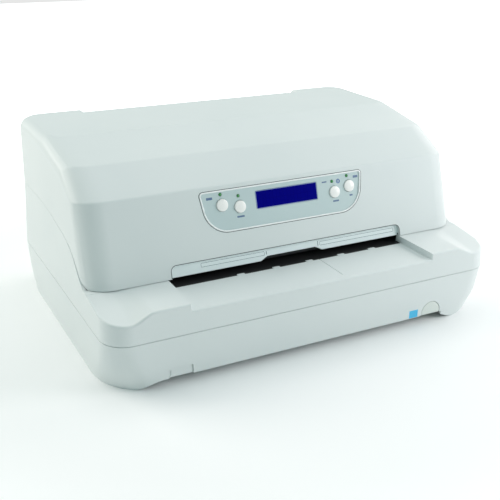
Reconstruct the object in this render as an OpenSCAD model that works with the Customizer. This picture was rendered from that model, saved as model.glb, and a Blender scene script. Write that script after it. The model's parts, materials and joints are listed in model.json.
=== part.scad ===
// Flatbed dot matrix printer with a hinged top cover.
// Origin at the centre of its footprint, front towards -Y, +Z up, in millimetres.

/* [Housing] */
// Width over the cases
body_w = 384; // [370:1:400]
// Depth over the cases
body_d = 280; // [272:1:290]
// Height of the parting line between base and upper case
parting_z = 44.5; // [43:0.5:46]
// Wall of the cases and of the cover
wall = 2.8; // [2.4:0.1:3]
// Corner radius of the cases in plan, at the parting line
corner_r = 22; // [20:1:24]
// Corner radius of the base case in plan, at its lower edge
foot_corner_r = 34; // [30:1:38]
// Height of the underside of the floor
floor_z = 8.5; // [8.3:0.1:9]
// Thickness of the floor
floor_t = 2.5; // [2:0.1:3]
// Height of the arch cut under the front edge
arch_h = 7.5; // [6:0.5:8]
// Distance from the left side of the case to the arch
arch_left_inset = 18.5; // [16:0.5:22]
// Distance from the right side of the case to the arch
arch_right_inset = 40.5; // [38:0.5:43]
// Inward lean of the upper case's walls over its height
case_draft = 2.5; // [1.5:0.1:3]

/* [Front shelf] */
// Height of the flat paper table
table_z = 63.5; // [63:0.1:64]
// Half width of the paper table
table_half_w = 120; // [118:1:124]
// Height of the raised flats beside the table
flank_z = 69.5; // [69:0.1:69.6]
// Height of the front lip at the corners
lip_corner_z = 61; // [59:0.5:64]
// Distance from the side of the case to where the lip starts to fall
lip_ramp_start_inset = 42; // [38:1:46]
// Distance from the side of the case to where the lip is lowest
lip_ramp_end_inset = 20; // [16:1:24]
// Depth of the paper table
table_d = 47.5; // [46:0.5:48]
// Depth of the raised flats
flank_d = 56; // [55:0.5:56.5]

/* [Top cover] */
// Height of the cover's front lower edge
cover_front_z = 70; // [70:0.1:71]
// Depth of the shelf in front of the cover
shelf_d = 51; // [50:0.5:52]
// Depth of the cover's front facet
facet_d = 20.5; // [19:0.5:22]
// Height of the crease above the facet
crease_low_z = 139.5; // [138:0.5:142]
// Depth of the slope above the facet
slope_d = 35.5; // [34:0.5:38]
// Height of the crease above the slope
crease_high_z = 161; // [159:0.5:163]
// Depth of the flat rise from the slope to the level top
crown_d = 63; // [58:1:68]
// Height of the level top
cover_top_z = 172; // [171:0.5:175]
// Step from the rear of the case to the rear of the cover
cover_back_step = 2; // [1.6:0.1:2.4]
// Step from the side of the case to the side of the cover
cover_side_step = 4; // [3.6:0.1:4.4]
// Corner radius of the cover in plan
cover_corner_r = 22; // [20:1:24]
// Rounding of the top edges
top_edge_r = 10; // [8:0.5:12]
// Half width of the notch in the cover's rear edge
notch_half_w = 125; // [122:1:128]
// Depth of that notch
notch_d = 20; // [19:0.5:21]
// Gap between the cover's lower edge and the case
seam_gap = 0.5; // [0.4:0.1:0.6]

/* [Cover hinge] */
// Distance from the rear of the case to the hinge axis
hinge_inset = 10; // [9.8:0.1:10.2]
// Hinge axis, in Z
hinge_z = 106; // [105.5:0.1:106.5]
// Radius of the hinge pins
hinge_pin_r = 2; // [1.8:0.1:2.2]
// Radial clearance of a running fit
fit = 0.05; // [0.03:0.01:0.08]
// Radius of the hinge lugs
lug_r = 4.5; // [4.3:0.1:4.6]

/* [Operator panel] */
// Half width of the panel at its top
panel_half_w = 83.5; // [82:0.5:85]
// Height of the panel's lower edge, along the facet
panel_low = 31.8; // [31:0.2:33]
// Height of the panel's upper edge, along the facet
panel_high = 68.8; // [68:0.2:69]
// Depth of the recess that holds the panel overlay
panel_depth = 1.5; // [1.3:0.1:1.6]
// Thickness of the panel overlay
overlay_t = 0.8; // [0.6:0.1:0.9]
// Width of the display window
lcd_w = 63.3; // [62:0.1:65]
// Height of the display window
lcd_h = 16.2; // [15.5:0.1:17]
// Radius of a key cap
key_r = 5.4; // [5:0.1:5.6]
// Travel of a key
key_travel = 0.8; // [0.5:0.1:1]
// Radius of a status lamp
lamp_r = 1.5; // [1.3:0.1:1.8]

/* [Paper path] */
// Radius of the feed tyres
tyre_r = 10; // [9.8:0.1:10.1]
// Radius of the feed shafts
feed_shaft_r = 4; // [3.8:0.1:4.2]
// Radius of the pressure rollers
press_r = 8; // [7.8:0.1:8.1]
// Distance from the raised flats to the front feed shaft
front_feed_d = 34; // [33.5:0.1:34.5]
// Distance between the two feed shafts
feed_span = 90; // [89:0.5:90.5]
// Distance from the front feed shaft to the print line
print_d = 38; // [37.5:0.1:38.5]
// Pitch of the feed tyres
tyre_pitch = 35; // [34:0.5:36]
// Distance from the side of the case to a side frame
frame_inset = 26; // [25.5:0.1:26.5]
// Thickness of the side frames
frame_t = 2; // [1.5:0.1:2.2]

/* [Feed gears] */
// Module of the feed gears
gear_module = 1; // [1:0.01:1.02]
// Face width of the gears
gear_w = 6; // [5:0.5:6.5]

/* [Carriage] */
// Radius of the carriage guide shaft
guide_r = 6; // [5.6:0.1:6.1]
// Distance from the print line to the guide shaft
guide_d = 24; // [23.8:0.1:24.4]
// Guide shaft, in Z
guide_z = 86; // [85.7:0.1:86.2]
// Half width of the carriage
carriage_half_w = 18; // [16:1:18]
// Distance from a side frame to the belt pulley beside it
pulley_inset = 20; // [19.5:0.5:20.5]
// Height of the belt's centre line
belt_z = 90; // [89.8:0.1:90.3]

/* [Electronics] */
// Width of the power supply
psu_w = 84; // [78:1:92]
// Depth of the power supply
psu_d = 54; // [50:1:58]
// Height of the power supply
psu_h = 30; // [27:1:31]
// Width of the feed motor
feed_motor_w = 35; // [33:0.5:36]
// Length of the feed motor
feed_motor_l = 34; // [30:1:36]
// Width of the carriage motor
carriage_motor_w = 28; // [26:0.5:28.5]
// Length of the carriage motor
carriage_motor_l = 20; // [18:1:21]

/* [Hidden] */

$fn = 64;
// Smallest overlap that makes a cut clean
eps = 0.01;
// Gap between parts that move past each other
play = 0.3;
// Edges of the case
side_x = body_w / 2;
front_y = -body_d / 2;
back_y = body_d / 2;
// Top of the floor
floor_top = floor_z + floor_t;
arch_left = -side_x + arch_left_inset;
arch_right = side_x - arch_right_inset;
// Front shelf
lip_ramp_start = side_x - lip_ramp_start_inset;
lip_ramp_end = side_x - lip_ramp_end_inset;
table_back_y = front_y + table_d;
flank_back_y = front_y + flank_d;
// Fingers along the rear edge of the table: middles, width and reach
finger_xs = [-53, -17.5, 17, 51.5, 86];
finger_w = 7;
finger_l = 2.2;
// Outline of the cover, front to rear
cover_front_y = front_y + shelf_d;
crease_low_y = cover_front_y + facet_d;
crease_high_y = crease_low_y + slope_d;
top_flat_y = crease_high_y + crown_d;
cover_back_y = back_y - cover_back_step;
cover_half_w = side_x - cover_side_step;
notch_y = cover_back_y - notch_d;
hinge_y = back_y - hinge_inset;
// Lean of the cover's front facet, from the vertical
facet_run = facet_d / (crease_low_z - cover_front_z);
facet_lean = atan(facet_run);
// Top of the case under the rear of the cover
rear_deck_z = hinge_z - 11;
// Radius that the cover's rear corners stay inside, about the hinge
cover_swing_r = 9;
// Radius that the case is cleared to, about the hinge
case_swing_r = cover_swing_r + 0.8;
// Middle of a lug of the case, from the middle plane
lug_x = notch_half_w + 14.5;
lug_w = 6;
knuckle_w = 8;
// Seam between the cover's sides and the case, from the cover's front lower edge, as [y, z]
seam_rise = [[19, 4], [27, 10], [38, 19], [49, 25], [62, 29], [76, 31.5], [109, 36], [144, 38.5]];
seam = concat([[flank_back_y + 6, cover_front_z]],
  [for (p = seam_rise) [cover_front_y + p[0], cover_front_z + p[1]]], [[hinge_y, hinge_z + 2]]);
// Places of the keys on the facet, as [x, height along the facet]
keys = [[-62.1, 55.6], [-45.2, 52], [52.6, 51.8], [68.9, 55.4]];
// Places of the lamps on the facet
lamps = [[-62.8, 65], [-45.8, 61.7], [51, 61.8], [67.5, 65]];
// Middle of the display on the facet
lcd_mid = [2.6, 55.5];
// Depth of the panel's board behind the facet
board_depth = 10;
// Window of the slot fascia: half width, middle, height along the facet
fascia_half_w = 118.5;
fascia_mid_x = 2;
fascia_h = 11;
// Side frames
frame_x = side_x - frame_inset;
frame_back_y = notch_y - 12;
frame_top_z = guide_z + 22;
// Shafts and rollers
front_feed_y = flank_back_y + front_feed_d;
rear_feed_y = front_feed_y + feed_span;
print_y = front_feed_y + print_d;
guide_y = print_y + guide_d;
bush_r = 6;
press_pin_r = 3;
feed_z = table_z - tyre_r + 0.3;
press_z = feed_z + tyre_r + press_r + play;
guide_plate_z = table_z - 1.6;
tyre_xs = [for (i = [-3 : 2]) tyre_pitch * (i + 0.5)];
tyre_w = 12;
// Feet and the screws that hold the side frames
foot_x = side_x - 42;
foot_y = back_y - 38;
screw_r = 1.6;
screw_at = [for (x = [-1, 1], y = [flank_back_y + 22, guide_y + 8, frame_back_y - 20])
  [x * (frame_x - 7), y]];
// Gear train, seen from the right side: places in the Y-Z plane
big_teeth = 30;
pinion_teeth = 12;
gear_angle = 25;
idler_drop = 15;
gear_step = gear_module * big_teeth;
pinion_step = gear_module * (big_teeth + pinion_teeth) / 2;
gear_x = frame_x + frame_t + 2;
idler_z = feed_z - idler_drop;
idler_dy = sqrt(gear_step * gear_step - idler_drop * idler_drop);
idler_front_y = front_feed_y + idler_dy;
idler_rear_y = rear_feed_y - idler_dy;
motor_y = (idler_front_y + idler_rear_y) / 2;
motor_z = idler_z - sqrt(pinion_step * pinion_step - pow((idler_rear_y - idler_front_y) / 2, 2));
stud_r = 3;
// Carriage drive
pulley_x = frame_x - pulley_inset;
belt_y = guide_y + 22;
pulley_r = 6;
belt_t = 1.2;
motor_shaft_r = 2.5;
rail_y = print_y - 22;
rail_z = guide_z + 6;
rail_t = 3;
rail_w = 8;
carriage_top_z = guide_z + 10;
head_r = 13;
head_nose_z = table_z + 2.9;
// Width of the bar that holds the line scanner
scan_w = 13;
// Ribbon cassette
cassette_z = guide_z + 6.5;
cassette_h = 22;
cassette_half_w = frame_x - 30;
cassette_y = [rear_feed_y + 22, frame_back_y];
cassette_mid_y = (cassette_y[0] + cassette_y[1]) / 2;
cassette_d = cassette_y[1] - cassette_y[0];
ribbon_arm_x = frame_x - 24;
knob_at = [-cassette_half_w + 36, cassette_mid_y];
// Rear sockets, as [x, width, bottom, top]
sockets = [[-86, 13, 17, 28.5], [-48, 52, 17, 29.5], [12, 31, 17, 29.5]];
psu_size = [psu_w, psu_d, psu_h];
psu_at = [frame_x - 18 - psu_w, 65 - psu_d / 2, floor_top];
inlet_x = side_x - 70;
inlet_z = 28;
inlet_w = 27.4;
inlet_h = 20;
// Main board: left, right, front and rear edges, middle, thickness, height over the floor
board_x = [-frame_x + 48, psu_at[0] - 22];
board_y = [34, back_y - 12];
board_mid_x = (board_x[0] + board_x[1]) / 2;
board_t = 1.6;
board_stand = 4;
// Power key, label and the blank cover at the front left
power_x = side_x - 68.2;
power_r = 10.8;
power_top_z = 20.6;
power_travel = 2.5;
port_x = [-side_x + 50, -side_x + 71.5];
port_top_z = 16.2;
label_x = [power_x - 25, power_x - 15.2];

// ---- shared shapes ----

// Points of an arc in the plane
function arc(x, y, r, from, to, steps) =
  [for (i = [0 : steps]) let (a = from + (to - from) * i / steps) [x + r * cos(a), y + r * sin(a)]];

// Smooth step from 0 to 1
function smooth(t) = let (c = max(0, min(1, t))) c * c * (3 - 2 * c);

// Rectangle with round corners, centred on the axis
module slab(w, d, r, h) {
  linear_extrude(h) {
    square([w - 2 * r, d], center = true);
    square([w, d - 2 * r], center = true);
    for (x = [-1, 1], y = [-1, 1])
      translate([x * (w / 2 - r), y * (d / 2 - r)]) circle(r);
  }
}

// Profile in the Y-Z plane, extruded from x0 to x1
module along_x(x0, x1) {
  translate([x0, 0, 0]) rotate([90, 0, 90]) linear_extrude(x1 - x0) children();
}

// Rod along X
module rod_x(x0, x1, y, z, r) {
  translate([x0, y, z]) rotate([0, 90, 0]) cylinder(r = r, h = x1 - x0);
}

// Rod along Y
module rod_y(y0, y1, x, z, r) {
  translate([x, y0, z]) rotate([-90, 0, 0]) cylinder(r = r, h = y1 - y0);
}

// Box between two corners
module block(a, b) {
  translate(a) cube(b - a);
}

// Places children on the cover's front facet: X right, Y up the facet, Z outwards
module on_facet() {
  translate([0, cover_front_y, cover_front_z]) rotate([90 - facet_lean, 0, 0]) children();
}

// Lofted solid through rings that have the same number of points
module loft(rings) {
  n = len(rings[0]);
  m = len(rings);
  points = [for (ring = rings) each ring];
  sides = [for (j = [0 : m - 2], i = [0 : n - 1])
    let (a = j * n + i, b = j * n + (i + 1) % n) each [[a, b, b + n], [a, b + n, a + n]]];
  caps = [[for (i = [n - 1 : -1 : 0]) i], [for (i = [0 : n - 1]) (m - 1) * n + i]];
  polyhedron(points, concat(sides, caps));
}

// ---- housing ----

// Body of the base case, drawn in by inset
module base_blank(inset) {
  hull() {
    translate([0, 0, -eps * (inset > 0 ? 1 : 0)])
      slab(body_w - 2 * inset, body_d - 2 * inset, foot_corner_r - inset, eps);
    translate([0, 0, parting_z - eps + (inset > 0 ? 2 * eps : 0)])
      slab(body_w - 2 * inset, body_d - 2 * inset, corner_r - inset, eps);
  }
}

// Outline of the arch under the front edge, with S-curved ends
module arch_outline() {
  rise = 26;
  steps = 12;
  polygon(concat(
    [[arch_left, -5]],
    [for (i = [0 : steps]) [arch_left + rise * i / steps, arch_h * smooth(i / steps)]],
    [for (i = [0 : steps]) [arch_right - rise * (1 - i / steps), arch_h * smooth(1 - i / steps)]],
    [[arch_right, -5]]));
}

// Outline of the power key's opening
module power_outline(gap) {
  r = power_r - gap;
  polygon(concat(
    [[power_x + r, arch_h + 0.3]],
    arc(power_x, power_top_z - power_r, r, 0, 180, 32),
    [[power_x - r, arch_h + 0.3]]));
}

// Outline of the blank cover at the front left
module port_outline(gap) {
  r = 2;
  x0 = port_x[0] + gap;
  x1 = port_x[1] - gap;
  z1 = port_top_z - gap;
  polygon(concat([[x0, arch_h + gap], [x1, arch_h + gap]],
    arc(x1 - r, z1 - r, r, 0, 90, 8), arc(x0 + r, z1 - r, r, 90, 180, 8)));
}

// Outline in the X-Z plane, extruded from y0 to y1
module along_y(y0, y1) {
  translate([0, y1, 0]) rotate([90, 0, 0]) linear_extrude(y1 - y0) children();
}

module base_case() {
  color("whitesmoke") difference() {
    union() {
      difference() {
        base_blank(0);
        base_blank(wall);
      }
      // Floor
      intersection() {
        base_blank(wall - eps);
        block([-body_w, -body_d, floor_z], [body_w, body_d, floor_top]);
      }
      // Tongue that locates the upper case
      translate([0, 0, parting_z - 4]) difference() {
        slab(body_w - 2 * (wall + play), body_d - 2 * (wall + play), corner_r - wall - play, 7);
        translate([0, 0, -1])
          slab(body_w - 4 * wall, body_d - 4 * wall, corner_r - 2 * wall, 9);
      }
      // Web that joins the tongue to the wall
      translate([0, 0, parting_z - 4]) difference() {
        slab(body_w - 2 * wall + 2 * eps, body_d - 2 * wall + 2 * eps, corner_r - wall, 3);
        translate([0, 0, -1])
          slab(body_w - 4 * wall, body_d - 4 * wall, corner_r - 2 * wall, 5);
      }
      // Ribs under the floor
      for (x = [-120 : 60 : 120])
        block([x - 1, front_y + wall + 4, floor_z - 1], [x + 1, back_y - wall - 4, floor_z + eps]);
      // Foot seats
      for (x = [-1, 1], y = [-1, 1])
        translate([x * foot_x, y * foot_y, 2]) cylinder(r = 11, h = floor_z - 2 + eps);
    }
    // Arch
    along_y(front_y - 5, front_y + wall + 3) arch_outline();
    // Shadow gap on the parting line
    translate([0, 0, parting_z - 0.8]) difference() {
      slab(body_w + 4, body_d + 4, corner_r + 2, 2);
      translate([0, 0, -1]) slab(body_w - 1.6, body_d - 1.6, corner_r - 0.8, 4);
    }
    // Power key
    along_y(front_y - 1, front_y + wall + 1) power_outline(0);
    block([power_x - power_r - 2, front_y - 1, -1],
      [power_x + power_r + 2, front_y + wall + eps, arch_h + 0.4]);
    block([power_x - power_r - 3, front_y + wall - eps, floor_z - 1],
      [power_x + power_r + 3, front_y + 14, floor_top + 1]);
    // Blank cover
    along_y(front_y - 1, front_y + wall + 1) port_outline(0);
    // Rear sockets
    for (s = sockets)
      block([s[0] - s[1] / 2 - play, back_y - wall - 1, s[2] - play],
        [s[0] + s[1] / 2 + play, back_y + 1, s[3] + play]);
    block([inlet_x - inlet_w / 2 - play, back_y - wall - 1, inlet_z - inlet_h / 2 - play],
      [inlet_x + inlet_w / 2 + play, back_y + 1, inlet_z + inlet_h / 2 + play]);
    // Holes for the feet's plugs
    for (x = [-1, 1], y = [-1, 1])
      translate([x * foot_x, y * foot_y, -1]) cylinder(r = 3.1, h = floor_top + 2);
    // Cooling slots in the floor
    for (i = [-5 : 5])
      translate([-60 + i * 8, 60, 0]) vent_slot(4, 40);
    // Screw holes
    for (p = screw_at) translate([p[0], p[1], floor_z - 6]) cylinder(r = screw_r + 0.1, h = 20);
  }
}

// Slot with round ends through the floor
module vent_slot(w, l) {
  linear_extrude(floor_top + 2) {
    square([w, l - w], center = true);
    for (y = [-1, 1]) translate([0, y * (l - w) / 2]) circle(w / 2);
  }
}

// Body of the upper case, drawn in by inset
module upper_blank(inset) {
  top_z = 114;
  lean = case_draft * (top_z - parting_z) / (hinge_z - parting_z);
  hull() {
    translate([0, 0, parting_z - (inset > 0 ? 1 : 0)])
      slab(body_w - 2 * inset, body_d - 2 * inset, corner_r - inset, eps);
    translate([0, 0, top_z + (inset > 0 ? 1 : 0)])
      slab(body_w - 2 * (inset + lean), body_d - 2 * (inset + lean), corner_r - inset, eps);
  }
}

// Everything in the Y-Z plane that belongs to the case under the cover's seam
module case_side() {
  gap = seam_gap;
  difference() {
    polygon(concat([[-200, 0], [-200, flank_z]],
      [[seam[0][0], flank_z]],
      [for (i = [1 : len(seam) - 1]) [seam[i][0], seam[i][1] - gap]],
      [[hinge_y, rear_deck_z], [200, rear_deck_z], [200, 0]]));
    translate([hinge_y, hinge_z]) circle(case_swing_r);
  }
}

// Ring of the cutter that lets the lip fall away at a corner, at depth y
function lip_ring(side, y, fade) =
  let (steps = 10,
    curve = [for (i = [0 : steps]) let (t = i / steps)
      [lip_ramp_start + (lip_ramp_end - lip_ramp_start) * t,
       flank_z + 0.02 - (flank_z - lip_corner_z) * fade * smooth(t)]],
    outline = concat([[lip_ramp_start, flank_z + 6]], curve,
      [[body_w / 2 + 5, flank_z + 0.02 - (flank_z - lip_corner_z) * fade],
       [body_w / 2 + 5, flank_z + 6]]))
  side > 0 ? [for (p = outline) [p[0], y, p[1]]]
    : [for (i = [len(outline) - 1 : -1 : 0]) [-outline[i][0], y, outline[i][1]]];

module lip_dip(side) {
  run = 54;
  steps = 6;
  loft([for (j = [0 : steps]) let (t = j / steps)
    lip_ring(side, front_y - 1 + (run + 1) * t, 1 - 0.98 * t)]);
}

module upper_case() {
  color("whitesmoke") {
    upper_shell();
    // Fingers that lead the paper over the slot's lower edge
    for (x = finger_xs) along_x(x - finger_w / 2, x + finger_w / 2) finger_outline();
  }
}

// Thin finger on the rear edge of the table, in the Y-Z plane
module finger_outline() {
  y = table_back_y;
  polygon([[y - 3, table_z - 0.2], [y - 0.2, table_z - 0.2], [y - 0.2, table_z - 1.2],
    [y + finger_l, table_z - 0.6], [y + finger_l, table_z + 0.3], [y - 1.5, table_z + 0.3]]);
}

module upper_shell() {
  difference() {
    union() {
      intersection() {
        difference() {
          upper_blank(0);
          upper_blank(wall);
        }
        along_x(-body_w, body_w) case_side();
      }
      // Shelf in front of the cover, and the deck behind it
      intersection() {
        upper_blank(wall - 0.1);
        union() {
          difference() {
            block([-body_w, -body_d, lip_corner_z - wall], [body_w, flank_back_y, flank_z]);
            // Hollow under the raised flats
            for (s = [-1, 1])
              block([s > 0 ? table_half_w + wall : -lip_ramp_start, front_y + 3 * wall, 0],
                [s > 0 ? lip_ramp_start : -table_half_w - wall, body_d, flank_z - wall]);
            block([-table_half_w - wall - eps, -body_d, 0],
              [table_half_w + wall + eps, body_d, table_z - wall]);
          }
          block([-body_w, notch_y - 5, rear_deck_z - wall], [body_w, body_d, rear_deck_z]);
        }
      }
      // Lugs of the cover hinge
      for (s = [-1, 1]) {
        rod_x(s * lug_x - lug_w / 2, s * lug_x + lug_w / 2, hinge_y, hinge_z, lug_r);
        block([s * lug_x - lug_w / 2, hinge_y - 8, rear_deck_z - eps],
          [s * lug_x + lug_w / 2, hinge_y, hinge_z]);
      }
    }
    // Table recess, open to the slot behind it
    block([-table_half_w, front_y - 5, table_z], [table_half_w, 0, flank_z + 20]);
    // Slot behind the table
    block([-table_half_w, table_back_y, 0], [table_half_w, flank_back_y + 1, flank_z + 5]);
    // Register groove in the table
    block([27, front_y + 8, table_z - 0.5], [27.8, table_back_y + 1, table_z + 1]);
    for (s = [-1, 1]) lip_dip(s);
    // Bores of the hinge pins
    rod_x(-body_w, body_w, hinge_y, hinge_z, hinge_pin_r + fit);
  }
}

// ---- top cover ----

// Outer profile of the cover, from the front lower edge over the top to the rear, as
// [y, z, edge radius]
function cover_profile() = [
  [cover_front_y - 10 * facet_run, cover_front_z - 10, 0],
  [crease_low_y, crease_low_z, 4], [crease_high_y, crease_high_z, top_edge_r],
  [top_flat_y, cover_top_z, top_edge_r], [cover_back_y, cover_top_z, top_edge_r],
  [cover_back_y, cover_front_z - 10, 0]];

function unit(v) = v / norm(v);

// Unit vector that points into the cover from the profile edge a-b
function inward(a, b) = let (d = unit([b[0] - a[0], b[1] - a[1]])) [d[1], -d[0]];

// Centre of the circle that rounds corner i of the profile
function round_centre(i) =
  let (p = cover_profile(), n1 = inward(p[i - 1], p[i]), n2 = inward(p[i], p[i + 1]))
  [p[i][0], p[i][1]] + p[i][2] * (n1 + n2) / (1 + n1 * n2);

// Half width of the cover at a height
function cover_half(z) = cover_half_w - (z - cover_front_z) * 0.016;

// Disc with a round rim
module rim_disc(r, edge) {
  rotate_extrude($fn = 40) {
    square_r = r - edge;
    translate([0, -edge]) square([square_r, 2 * edge]);
    intersection() {
      translate([square_r, 0]) circle(edge, $fn = 24);
      translate([0, -edge]) square([r, 2 * edge]);
    }
  }
}

// Body of the cover, drawn in by inset
module cover_blank(inset) {
  p = cover_profile();
  r = cover_corner_r - inset;
  // The hollow runs out a little below the shell, with its front parallel to the facet
  drop = inset > 0 ? 1 : 0;
  front_shift = inset * (1 / cos(facet_lean) - 1) - drop * facet_run;
  hull() {
    for (i = [1 : 4], s = [-1, 1]) {
      c = round_centre(i);
      edge = p[i][2] - inset;
      back = cover_corner_r - p[i][2];
      translate([s * (cover_half(c[1]) - cover_corner_r), c[0] + (i < 4 ? back : -back), c[1]])
        rim_disc(r, edge);
    }
    for (i = [0, 5], s = [-1, 1])
      translate([s * (cover_half(p[i][1]) - cover_corner_r),
        p[i][0] + (i == 0 ? cover_corner_r + front_shift : -cover_corner_r), p[i][1] - drop])
        cylinder(r = r, h = eps, $fn = 40);
  }
}

// Everything in the Y-Z plane that belongs to the cover above the seam
module cover_side() {
  difference() {
    union() {
      polygon(concat([[-200, 400], [-200, cover_front_z], [seam[0][0], cover_front_z]],
        [for (i = [1 : len(seam) - 1]) seam[i]], [[200, seam[len(seam) - 1][1]], [200, 400]]));
      translate([hinge_y, hinge_z]) circle(cover_swing_r);
    }
    block2([hinge_y + cover_swing_r - 0.5, 0], [200, hinge_z - 4]);
  }
}

// Rectangle between two corners
module block2(a, b) {
  translate(a) square(b - a);
}

// Outline of the panel on the facet, drawn in by gap
module panel_outline(gap) {
  low_r = 21 - gap;
  high_r = 4 - gap;
  low_x = panel_half_w - 4.5 - 21;
  high_x = panel_half_w - 4;
  polygon(concat(
    arc(high_x, panel_high - 4, high_r, 0, 90, 8),
    arc(-high_x, panel_high - 4, high_r, 90, 180, 8),
    arc(-low_x, panel_low + 21, low_r, 184, 270, 16),
    arc(low_x, panel_low + 21, low_r, 270, 356, 16)));
}

// Rectangle with round corners in the plane; its rounding ends where its sides meet
module round_rect(x, y, w, h, r) {
  c = min(r, w / 2 - eps, h / 2 - eps);
  translate([x, y]) {
    square([w - 2 * c, h], center = true);
    square([w, h - 2 * c], center = true);
    for (i = [-1, 1], j = [-1, 1])
      translate([i * (w / 2 - c), j * (h / 2 - c)]) circle(c, $fn = 32);
  }
}

module top_cover() {
  color("whitesmoke") difference() {
    union() {
      intersection() {
        difference() {
          cover_blank(0);
          // Hollow, kept clear of the notch in the rear
          difference() {
            cover_blank(wall);
            block([-notch_half_w - wall, notch_y - wall, 0], [notch_half_w + wall, 200, 300]);
          }
        }
        along_x(-body_w, body_w) cover_side();
      }
      // Skirt of the notch, down towards the rear deck
      difference() {
        block([-notch_half_w - wall, notch_y - wall, hinge_z - 6],
          [notch_half_w + wall, cover_back_y - wall, hinge_z + 4]);
        // Room for the skirt's heel to swing over the deck
        block([-200, hinge_y + 4, 0], [200, 200, hinge_z]);
      }
      // Hinge knuckles
      for (s = [-1, 1])
        rod_x(s * (notch_half_w + wall + knuckle_w / 2) - knuckle_w / 2 - eps,
          s * (notch_half_w + wall + knuckle_w / 2) + knuckle_w / 2, hinge_y, hinge_z, lug_r);
      // Bosses behind the panel
      on_facet() for (x = [-1, 1], y = [44, 63])
        translate([x * 75, y, -board_depth]) cylinder(r = 2.5, h = board_depth - wall + 0.5);
      // Ribs under the level top
      for (x = [-120 : 60 : 120])
        block([x - 1, top_flat_y + 8, cover_top_z - wall - 6],
          [x + 1, notch_y - wall + eps, cover_top_z - wall + 0.5]);
    }
    // Notch in the rear
    block([-notch_half_w, notch_y, 0], [notch_half_w, 200, 300]);
    on_facet() {
      // Recess of the panel
      translate([0, 0, -panel_depth]) linear_extrude(10) panel_outline(0);
      // Display window
      translate([0, 0, -20]) linear_extrude(30)
        round_rect(lcd_mid[0], lcd_mid[1], lcd_w, lcd_h, 1.5);
      for (k = keys) translate([k[0], k[1], -9]) cylinder(r = key_r + play, h = 12);
      for (l = lamps) translate([l[0], l[1], -9]) cylinder(r = lamp_r + 0.1, h = 12);
      // Window of the slot fascia
      translate([0, 0, -10]) linear_extrude(20) {
        round_rect(fascia_mid_x, 2, 2 * fascia_half_w, 2 * (fascia_h - 2), 5);
        block2([fascia_mid_x - fascia_half_w, -9], [fascia_mid_x + fascia_half_w, 4]);
      }
    }
    // Slots in the rear wall for the lugs of the case
    for (s = [-1, 1])
      block([s * lug_x - lug_w / 2 - 0.6, hinge_y - 9, 0],
        [s * lug_x + lug_w / 2 + 0.6, 200, hinge_z + 1]);
    rod_x(-body_w, body_w, hinge_y, hinge_z, hinge_pin_r + fit);
  }
}

module hinge_pins() {
  color("silver") for (s = [-1, 1]) {
    x0 = s * (notch_half_w + wall - 1);
    x1 = s * (lug_x + lug_w / 2 + 1.5);
    rod_x(min(x0, x1), max(x0, x1), hinge_y, hinge_z, hinge_pin_r);
    // Head outside the case's lug
    x2 = s * (lug_x + lug_w / 2 + 0.4);
    rod_x(min(x2, x2 + s * 1.4), max(x2, x2 + s * 1.4), hinge_y, hinge_z, hinge_pin_r + 1.2);
  }
}

module panel_overlay() {
  color("lightsteelblue") on_facet()
    translate([0, 0, -panel_depth]) linear_extrude(overlay_t) difference() {
      panel_outline(play);
      round_rect(lcd_mid[0], lcd_mid[1], lcd_w + 0.4, lcd_h + 0.4, 1.7);
      for (k = keys) translate(k) circle(key_r + play);
      for (l = lamps) translate(l) circle(lamp_r + 0.1);
    }
}

module lcd_window() {
  color("navy") on_facet()
    translate([0, 0, -wall - 1]) linear_extrude(wall + 1 - panel_depth + overlay_t)
      round_rect(lcd_mid[0], lcd_mid[1], lcd_w - 0.2, lcd_h - 0.2, 1.4);
}

module lcd_module() {
  color("darkslategray") on_facet() difference() {
    translate([lcd_mid[0] - 40, lcd_mid[1] - 11.5, -board_depth + 0.3])
      cube([80, 23, board_depth - wall - 1.4]);
    // Screw holes at the corners
    for (x = [-37.5, 37.5], y = [-9.5, 9.5])
      translate([lcd_mid[0] + x, lcd_mid[1] + y, -20]) cylinder(r = 1.2, h = 30);
  }
}

module panel_board() {
  color("darkgreen") on_facet() {
    difference() {
      translate([-79, 40, -board_depth - 1.6]) cube([158, 27, 1.6]);
      for (x = [-1, 1], y = [44, 63])
        translate([x * 75, y, -20]) cylinder(r = 1.3, h = 30);
    }
    // Switches under the keys
    for (k = keys) translate([k[0], k[1], -board_depth - eps]) {
      translate([-2.2, -2.2, 0]) cube([4.4, 4.4, 1.6]);
      cylinder(r = 1.5, h = 2.4);
    }
  }
}

// Key cap with a domed face, a retaining flange and a stem
module key(i) {
  stand = 1.3;
  top = stand - panel_depth + overlay_t;
  dome_r = 26;
  rise = dome_r - sqrt(dome_r * dome_r - key_r * key_r);
  flange_z = -wall - play - 1;
  color("white") on_facet() translate([keys[i][0], keys[i][1], 0]) {
    intersection() {
      translate([0, 0, flange_z]) cylinder(r = key_r, h = 12);
      translate([0, 0, top + rise - dome_r]) sphere(dome_r, $fn = 128);
    }
    translate([0, 0, flange_z]) cylinder(r = key_r + 1.2, h = 1);
    translate([0, 0, -board_depth + 2.4 + key_travel + play]) cylinder(r = 2, h = 5);
  }
}

module key_1() { key(0); }
module key_2() { key(1); }
module key_3() { key(2); }
module key_4() { key(3); }

module status_lamps() {
  color("forestgreen") on_facet() for (l = lamps) translate([l[0], l[1], 0]) {
    translate([0, 0, -board_depth])
      cylinder(r = lamp_r, h = board_depth - panel_depth + overlay_t - 0.4);
    translate([0, 0, -panel_depth + overlay_t - 0.4]) intersection() {
      sphere(lamp_r, $fn = 48);
      translate([-5, -5, 0]) cube(10);
    }
  }
}

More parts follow.
